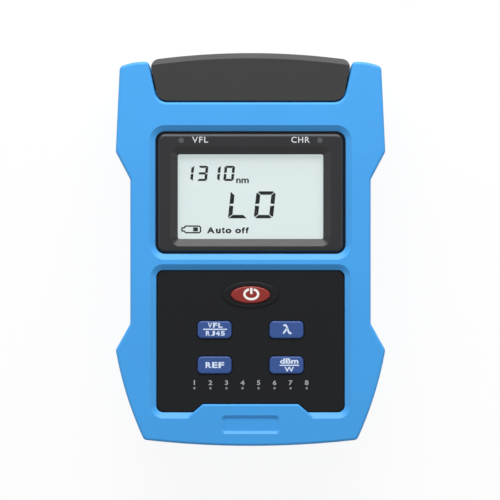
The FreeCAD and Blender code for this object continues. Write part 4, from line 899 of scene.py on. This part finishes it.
class METER_OT_inside(bpy.types.Operator):
    """Gives the pieces inside the case their finishes"""

    bl_idname = "meter.inside"
    bl_label = "Dress the inside"

    def execute(self, context):
        wear("display_sheet", "display_panel")
        wear("moulded_white", "display_frame", "backlight", "indicator_chips", "wire_map_chips")
        wear("contact_rubber", "contact_strip")
        wear("cell_wrap", "battery_cell")
        wear("foam_black", "battery_pad")
        wear("board_green", "main_board")
        wear("bright_steel", "board_screws")
        return {"FINISHED"}


class METER_OT_display_figures(bpy.types.Operator):
    """Makes the figures, the words and the battery sign of the display"""

    bl_idname = "meter.display_figures"
    bl_label = "Make the display's figures"

    def execute(self, context):
        prints = context.scene.meter_prints
        span = layer_on("display_panel", prints.film, DISPLAY_CLEARANCE)
        dark = ("housing", "display_grey", "display_ink")
        for name, signs, sizes, gap in FIGURE_ROWS:
            build_piece(name, lambda mesh: figure_row(mesh, signs, sizes, gap, prints.lean, span), *dark)

        def battery(mesh):
            ribbon(mesh, scaled_path(BATTERY_OUTLINE), prints.battery_line, span, closed=True)
            prism(mesh, scaled_path(BATTERY_BLOCK), span)

        build_piece("battery_sign", battery, *dark)
        unit = lettering("wavelength_word", "nm", scaled(UNIT_EDGES), span, UNIT_WEIGHT)
        add_piece("wavelength_word", unit, "housing", "display_grey", "display_soft_ink")
        letters = [(letter, scaled(edges)) for letter, edges in TIMER_LETTERS]
        add_piece("timer_words", set_letters("timer_words", letters, span, TIMER_WEIGHT), *dark)
        return {"FINISHED"}


class METER_OT_panel_prints(bpy.types.Operator):
    """Prints the words on the bezel and the wire numbers on the keypad panel"""

    bl_idname = "meter.panel_prints"
    bl_label = "Print the panels"

    def execute(self, context):
        prints = context.scene.meter_prints
        fittings = context.scene.meter_fittings
        span = layer_on("display_bezel", prints.ink)
        for name, words, edges in BEZEL_PRINTS:
            mesh = lettering(name, words, scaled(edges), span, BEZEL_WEIGHT, prints.bezel_spacing)
            add_piece(name, mesh, "housing", "bezel_black", "panel_ink")
        span = layer_on("light_bar", prints.ink)
        half = prints.numeral_height / 2
        for place in range(fittings.light_count):
            across = (place - (fittings.light_count - 1) / 2) * fittings.light_pitch
            edges = (across, across, prints.numeral_row - half, prints.numeral_row + half)
            name = f"wire_number_{place + 1}"
            mesh = lettering(name, str(place + 1), edges, span, NUMERAL_WEIGHT, widen=prints.numeral_widening)
            add_piece(name, mesh, "housing", "panel_black", "numeral_ink")
        return {"FINISHED"}


class METER_OT_key_prints(bpy.types.Operator):
    """Prints the words and signs on the keys"""

    bl_idname = "meter.key_prints"
    bl_label = "Print the keys"

    def execute(self, context):
        prints = context.scene.meter_prints
        span = layer_on("unit_key", prints.ink)
        pale = ("key_blue", "key_ink")
        for key, name, words, edges in KEY_PRINTS:
            if words.isupper():
                mesh = even_lettering(name, words, scaled(edges), span, KEY_WEIGHT, prints.letter_gap)
            else:
                mesh = lettering(name, words, scaled(edges), span, KEY_WEIGHT)
            add_piece(name, mesh, key, *pale)
        for key, name, left, right, height in KEY_RULES:
            path = scaled_path(((left, height), (right, height)))
            build_piece(name, lambda mesh: ribbon(mesh, path, prints.rule, span), key, *pale)

        def greek_letter(mesh):
            for stroke in GREEK_STROKES:
                ribbon(mesh, scaled_path(stroke), prints.greek_stroke, span)

        build_piece("wavelength_print", greek_letter, "wavelength_key", *pale)
        raised = layer_on("power_key", prints.ink)
        build_piece("power_sign", lambda mesh: power_sign(mesh, raised), "power_key", "key_red", "power_ink")
        return {"FINISHED"}


def new_geometry_tree(name, entries, takes_geometry=False):
    """A geometry tree with named inputs, and its end nodes."""
    tree = bpy.data.node_groups.new(name, "GeometryNodeTree")
    if takes_geometry:
        tree.interface.new_socket("Geometry", in_out="INPUT", socket_type="NodeSocketGeometry")
    for label, kind in (*entries, ("Finish", "Material")):
        tree.interface.new_socket(label, in_out="INPUT", socket_type=f"NodeSocket{kind}")
    tree.interface.new_socket("Geometry", in_out="OUTPUT", socket_type="NodeSocketGeometry")
    return tree, tree.nodes.new("NodeGroupInput"), tree.nodes.new("NodeGroupOutput")


def end_tree(tree, start, end, made):
    """Ends a geometry tree in real faces that wear its finish."""
    real = add_node(tree, "GeometryNodeRealizeInstances", {"Geometry": made})
    dressed = add_node(tree, "GeometryNodeSetMaterial", {
        "Geometry": (real, "Geometry"), "Material": (start, "Finish"),
    })
    fill(tree, end, {"Geometry": (dressed, "Geometry")})
    return tree


def grow_piece(name, tree, values, slot, material, base=None):
    """A piece of the housing that a geometry tree makes with the given values."""
    holder = bpy.data.objects.new(name, base or bpy.data.meshes.new(name))
    modifier = holder.modifiers.new("build", "NODES")
    modifier.node_group = tree
    values["Finish"] = material
    for item in tree.interface.items_tree:
        if item.in_out == "INPUT" and item.name in values:
            modifier[item.identifier] = values[item.name]
    return add_piece(name, mesh_of(holder), "housing", slot)


def light_row_tree():
    """A row of equal shallow domes."""
    tree, start, end = new_geometry_tree("light_row", (
        ("Count", "Int"), ("Pitch", "Float"), ("Radius", "Float"), ("Rise", "Float"), ("First", "Vector"),
    ))
    step = add_node(tree, "ShaderNodeCombineXYZ", {"X": (start, "Pitch")})
    line = add_node(tree, "GeometryNodeMeshLine", {
        "Count": (start, "Count"), "Start Location": (start, "First"), "Offset": (step, "Vector"),
    })
    ball = add_node(tree, "GeometryNodeMeshUVSphere", {
        "Segments": DOME_SEGMENTS, "Rings": DOME_RINGS, "Radius": 1.0,
    })
    smooth = add_node(tree, "GeometryNodeSetShadeSmooth", {"Geometry": (ball, "Mesh")})
    stretch = add_node(tree, "ShaderNodeCombineXYZ", {
        "X": (start, "Radius"), "Y": (start, "Radius"), "Z": (start, "Rise"),
    })
    dome = add_node(tree, "GeometryNodeTransform", {
        "Geometry": (smooth, "Geometry"), "Scale": (stretch, "Vector"),
    })
    placed = add_node(tree, "GeometryNodeInstanceOnPoints", {
        "Points": (line, "Mesh"), "Instance": (dome, "Geometry"),
    })
    return end_tree(tree, start, end, (placed, "Instances"))


class METER_OT_lights(bpy.types.Operator):
    """Sets a dome on each wire map light"""

    bl_idname = "meter.lights"
    bl_label = "Make the wire map lights"

    def execute(self, context):
        sizes = context.scene.meter_fittings
        reach = (sizes.light_count - 1) / 2 * sizes.light_pitch
        grow_piece("wire_map_lights", light_row_tree(), {
            "Count": sizes.light_count, "Pitch": sizes.light_pitch, "Radius": sizes.light_radius,
            "Rise": sizes.light_rise, "First": (-reach, sizes.light_row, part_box("light_bar")[1].z),
        }, "pipe_clear", finish_named("light_lens"))
        return {"FINISHED"}


def thread_tree():
    """A thread's ridge wound about Y."""
    tree, start, end = new_geometry_tree("port_thread", (
        ("Radius", "Float"), ("Length", "Float"), ("Pitch", "Float"), ("Ridge", "Float"), ("Place", "Vector"),
    ))
    spiral = add_node(tree, "GeometryNodeCurveSpiral", {
        "Resolution": THREAD_STEPS, "Start Radius": (start, "Radius"), "End Radius": (start, "Radius"),
        "Height": (start, "Length"),
        "Rotations": math_output(tree, "DIVIDE", (start, "Length"), (start, "Pitch")),
    })
    section = add_node(tree, "GeometryNodeCurvePrimitiveCircle", {
        "Resolution": THREAD_CORNERS, "Radius": (start, "Ridge"),
    })
    wound = add_node(tree, "GeometryNodeCurveToMesh", {
        "Curve": (spiral, "Curve"), "Profile Curve": (section, "Curve"), "Fill Caps": True,
    })
    laid = add_node(tree, "GeometryNodeTransform", {
        "Geometry": (wound, "Mesh"), "Rotation": (-math.pi / 2, 0.0, 0.0), "Translation": (start, "Place"),
    })
    return end_tree(tree, start, end, (laid, "Geometry"))


class METER_OT_port_thread(bpy.types.Operator):
    """Winds the thread on the barrel of the meter port, in the plain nickel that comes with the frame"""

    bl_idname = "meter.port_thread"
    bl_label = "Make the port's thread"

    def execute(self, context):
        sizes = context.scene.meter_fittings
        low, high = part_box("meter_port")
        foot = high.y - sizes.thread_inset - sizes.thread_length
        grow_piece("meter_port_thread", thread_tree(), {
            "Radius": sizes.thread_radius, "Length": sizes.thread_length, "Pitch": sizes.thread_pitch,
            "Ridge": sizes.thread_ridge, "Place": ((low.x + high.x) / 2, foot, (low.z + high.z) / 2),
        }, "port_nickel", bpy.data.materials["port_nickel"])
        return {"FINISHED"}


def cross_head_screw(sizes, low, high):
    """A screw that points up, with a crossed recess in its head below."""
    head_high = low + sizes.head_height
    turns = [2 * math.pi * step / SCREW_SIDES for step in range(SCREW_SIDES)]
    reach, half = sizes.cross_reach, sizes.cross_width / 2
    cross = [(reach, -half), (reach, half), (half, half)]
    for corner in range(3 * len(cross)):
        x, y = cross[corner]
        cross.append((-y, x))

    def build(mesh):
        def ring(radius, height):
            return [mesh.verts.new((radius * math.cos(turn), radius * math.sin(turn), height))
                    for turn in turns]

        mouth = [mesh.verts.new((x, y, low)) for x, y in cross]
        floor = [mesh.verts.new((CROSS_FLOOR_SHARE * x, CROSS_FLOOR_SHARE * y, low + sizes.cross_depth))
                 for x, y in cross]
        crown = ring(CROWN_SHARE * sizes.head_radius, low)
        edges = [mesh.edges.new((loop[place], loop[(place + 1) % len(loop)])) for loop in (mouth, crown)
                 for place in range(len(loop))]
        bmesh.ops.triangle_fill(mesh, use_beauty=True, edges=edges)
        join_rings(mesh, mouth, floor)
        mesh.faces.new(floor)
        rounded = ring(sizes.head_radius, low + ROUNDING_SHARE * sizes.head_height)
        seat = ring(sizes.head_radius, head_high)
        neck = ring(sizes.shank_radius, head_high)
        tip = ring(sizes.shank_radius, high)
        for under, over in ((crown, rounded), (rounded, seat), (seat, neck), (neck, tip)):
            join_rings(mesh, under, over)
        mesh.faces.new(tip)

    return mesh_from("cross_head_screw", build)


def screw_set_tree():
    """One screw set on each point of the base mesh, each turned by chance."""
    tree, start, end = new_geometry_tree(
        "screw_set", (("Screw", "Object"), ("Seed", "Int")), takes_geometry=True
    )
    screw = add_node(tree, "GeometryNodeObjectInfo", {"Object": (start, "Screw")})
    turn = add_node(tree, "FunctionNodeRandomValue", {
        "Min": (0.0, 0.0, 0.0), "Max": (0.0, 0.0, math.pi / 2), "Seed": (start, "Seed"),
    }, data_type="FLOAT_VECTOR")
    placed = add_node(tree, "GeometryNodeInstanceOnPoints", {
        "Points": (start, "Geometry"), "Instance": (screw, "Geometry"), "Rotation": (turn, "Value"),
    })
    return end_tree(tree, start, end, (placed, "Instances"))


class METER_OT_case_screws(bpy.types.Operator):
    """Makes the four case screws with crossed recesses"""

    bl_idname = "meter.case_screws"
    bl_label = "Make the case screws"

    def execute(self, context):
        solid = NODES["case_screws"].data
        low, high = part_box("case_screws")
        spots = []
        for side in (-1, 1):
            for end in (-1, 1):
                mine = [v.co.xy for v in solid.vertices if v.co.x * side > 0 and v.co.y * end > 0]
                spots.append((*[(min(values) + max(values)) / 2 for values in zip(*mine)], 0.0))
        pattern = cross_head_screw(context.scene.meter_fittings, low.z, high.z)
        screw = bpy.data.objects.new("screw_pattern", pattern)
        base = bpy.data.meshes.new("screw_places")
        base.from_pydata(spots, [], [])
        piece = grow_piece("case_screw_set", screw_set_tree(), {"Screw": screw, "Seed": SCREW_SEED},
                           "screw_steel", finish_named("bright_steel"), base)
        bpy.data.objects.remove(screw)
        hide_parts("case_screws")
        return {"FINISHED"}


def soft_box(name, place, size, power):
    lamp = bpy.data.lights.new(name, "AREA")
    lamp.shape = "RECTANGLE"
    lamp.size, lamp.size_y = size
    lamp.energy = power
    holder = bpy.data.objects.new(name, lamp)
    holder.location = place
    holder.rotation_euler = (Vector(LIGHT_AIM) - Vector(place)).to_track_quat("-Z", "Y").to_euler()
    bpy.context.scene.collection.objects.link(holder)


def white_where_seen(tree):
    """A mask that is 1 where the eye, a mirror or glass looks."""
    path = tree.nodes.new("ShaderNodeLightPath")
    seen = math_output(tree, "MAXIMUM", (path, "Is Camera Ray"), (path, "Is Glossy Ray"))
    return math_output(tree, "MAXIMUM", seen, (path, "Is Transmission Ray"))


def pale_floor(stage):
    """Matt white that takes shadow, and lets the eye through to the white room and to what is below."""
    material, tree, shader = new_material("pale_floor")
    tree.nodes.remove(shader)
    matt = add_node(tree, "ShaderNodeBsdfDiffuse", {"Color": FLOOR_WHITE})
    clear = tree.nodes.new("ShaderNodeBsdfTransparent")
    side = tree.nodes.new("ShaderNodeNewGeometry")
    share = math_output(tree, "MULTIPLY", white_where_seen(tree), stage.floor_clear)
    blend = add_node(tree, "ShaderNodeMixShader", {
        0: math_output(tree, "MAXIMUM", share, (side, "Backfacing")), 1: (matt, "BSDF"), 2: (clear, "BSDF"),
    })
    fill(tree, tree.nodes["Material Output"], {"Surface": (blend, "Shader")})
    return material


def studio(stage):
    """A room that is white where it is seen, and lights the meter evenly from above and from below."""
    world = bpy.data.worlds.new("studio")
    world.use_nodes = True
    tree = world.node_tree
    way = tree.nodes.new("ShaderNodeTexCoord")
    height = add_node(tree, "ShaderNodeSeparateXYZ", {"Vector": (way, "Generated")})
    under = math_output(tree, "LESS_THAN", (height, "Z"), 0.0)
    more = stage.floor_bounce - stage.room_light
    lighting = math_output(tree, "MULTIPLY_ADD", under, more, stage.room_light)
    fill(tree, tree.nodes["Background"], {
        "Color": (1.0, 1.0, 1.0, 1.0),
        "Strength": math_output(tree, "MAXIMUM", lighting, white_where_seen(tree)),
    })
    return world


class METER_OT_stage(bpy.types.Operator):
    """Sets up the floor, the light and the camera"""

    bl_idname = "meter.stage"
    bl_label = "Set the stage"

    def execute(self, context):
        scene = context.scene
        stage = scene.meter_stage
        mesh = mesh_from("floor", lambda shape: bmesh.ops.create_grid(
            shape, x_segments=1, y_segments=1, size=FLOOR_REACH))
        mesh.transform(Matrix.Translation((0.0, 0.0, CAD_BOX[0].z - FLOOR_DROP)))
        mesh.materials.append(pale_floor(stage))
        floor = bpy.data.objects.new("floor", mesh)
        floor.visible_diffuse = False
        scene.collection.objects.link(floor)

        scene.world = studio(stage)
        for name, place, size, power in SOFT_BOXES:
            soft_box(name, place, size, getattr(stage, power))

        camera = bpy.data.cameras.new("camera")
        camera.lens = stage.lens
        distance = stage.view_width * camera.lens / camera.sensor_width
        holder = bpy.data.objects.new("camera", camera)
        holder.location = (stage.shift_across, stage.shift_along, CAD_BOX[1].z + distance)
        scene.collection.objects.link(holder)
        scene.camera = holder
        scene.view_settings.view_transform = "Standard"
        return {"FINISHED"}


OPERATORS = (
    METER_OT_case, METER_OT_cover, METER_OT_panels, METER_OT_keys, METER_OT_ports, METER_OT_inside,
    METER_OT_display_figures, METER_OT_panel_prints, METER_OT_key_prints, METER_OT_lights,
    METER_OT_port_thread, METER_OT_case_screws, METER_OT_stage,
)
SETTINGS = (
    ("meter_colours", MeterColours), ("meter_grain", MeterGrain), ("meter_prints", MeterPrints),
    ("meter_fittings", MeterFittings), ("meter_stage", MeterStage),
)


class METER_PT_looks(bpy.types.Panel):
    """Lists the steps that dress the meter"""

    bl_idname = "METER_PT_looks"
    bl_label = "Meter looks"
    bl_space_type = "VIEW_3D"
    bl_region_type = "UI"
    bl_category = "Meter"

    def draw(self, context):
        for operator in OPERATORS:
            self.layout.operator(operator.bl_idname)


def register():
    for name, group in SETTINGS:
        bpy.utils.register_class(group)
        setattr(bpy.types.Scene, name, PointerProperty(type=group))
    for operator in OPERATORS:
        bpy.utils.register_class(operator)
    bpy.utils.register_class(METER_PT_looks)


def unregister():
    bpy.utils.unregister_class(METER_PT_looks)
    for operator in reversed(OPERATORS):
        bpy.utils.unregister_class(operator)
    for name, group in reversed(SETTINGS):
        delattr(bpy.types.Scene, name)
        bpy.utils.unregister_class(group)


def main():
    register()
    bpy.ops.meter.case()
    bpy.ops.meter.cover()
    bpy.ops.meter.panels()
    bpy.ops.meter.keys()
    bpy.ops.meter.ports()
    bpy.ops.meter.inside()
    bpy.ops.meter.display_figures()
    bpy.ops.meter.panel_prints()
    bpy.ops.meter.key_prints()
    bpy.ops.meter.lights()
    bpy.ops.meter.port_thread()
    bpy.ops.meter.case_screws()
    bpy.ops.meter.stage()


if __name__ == "__main__":
    main()
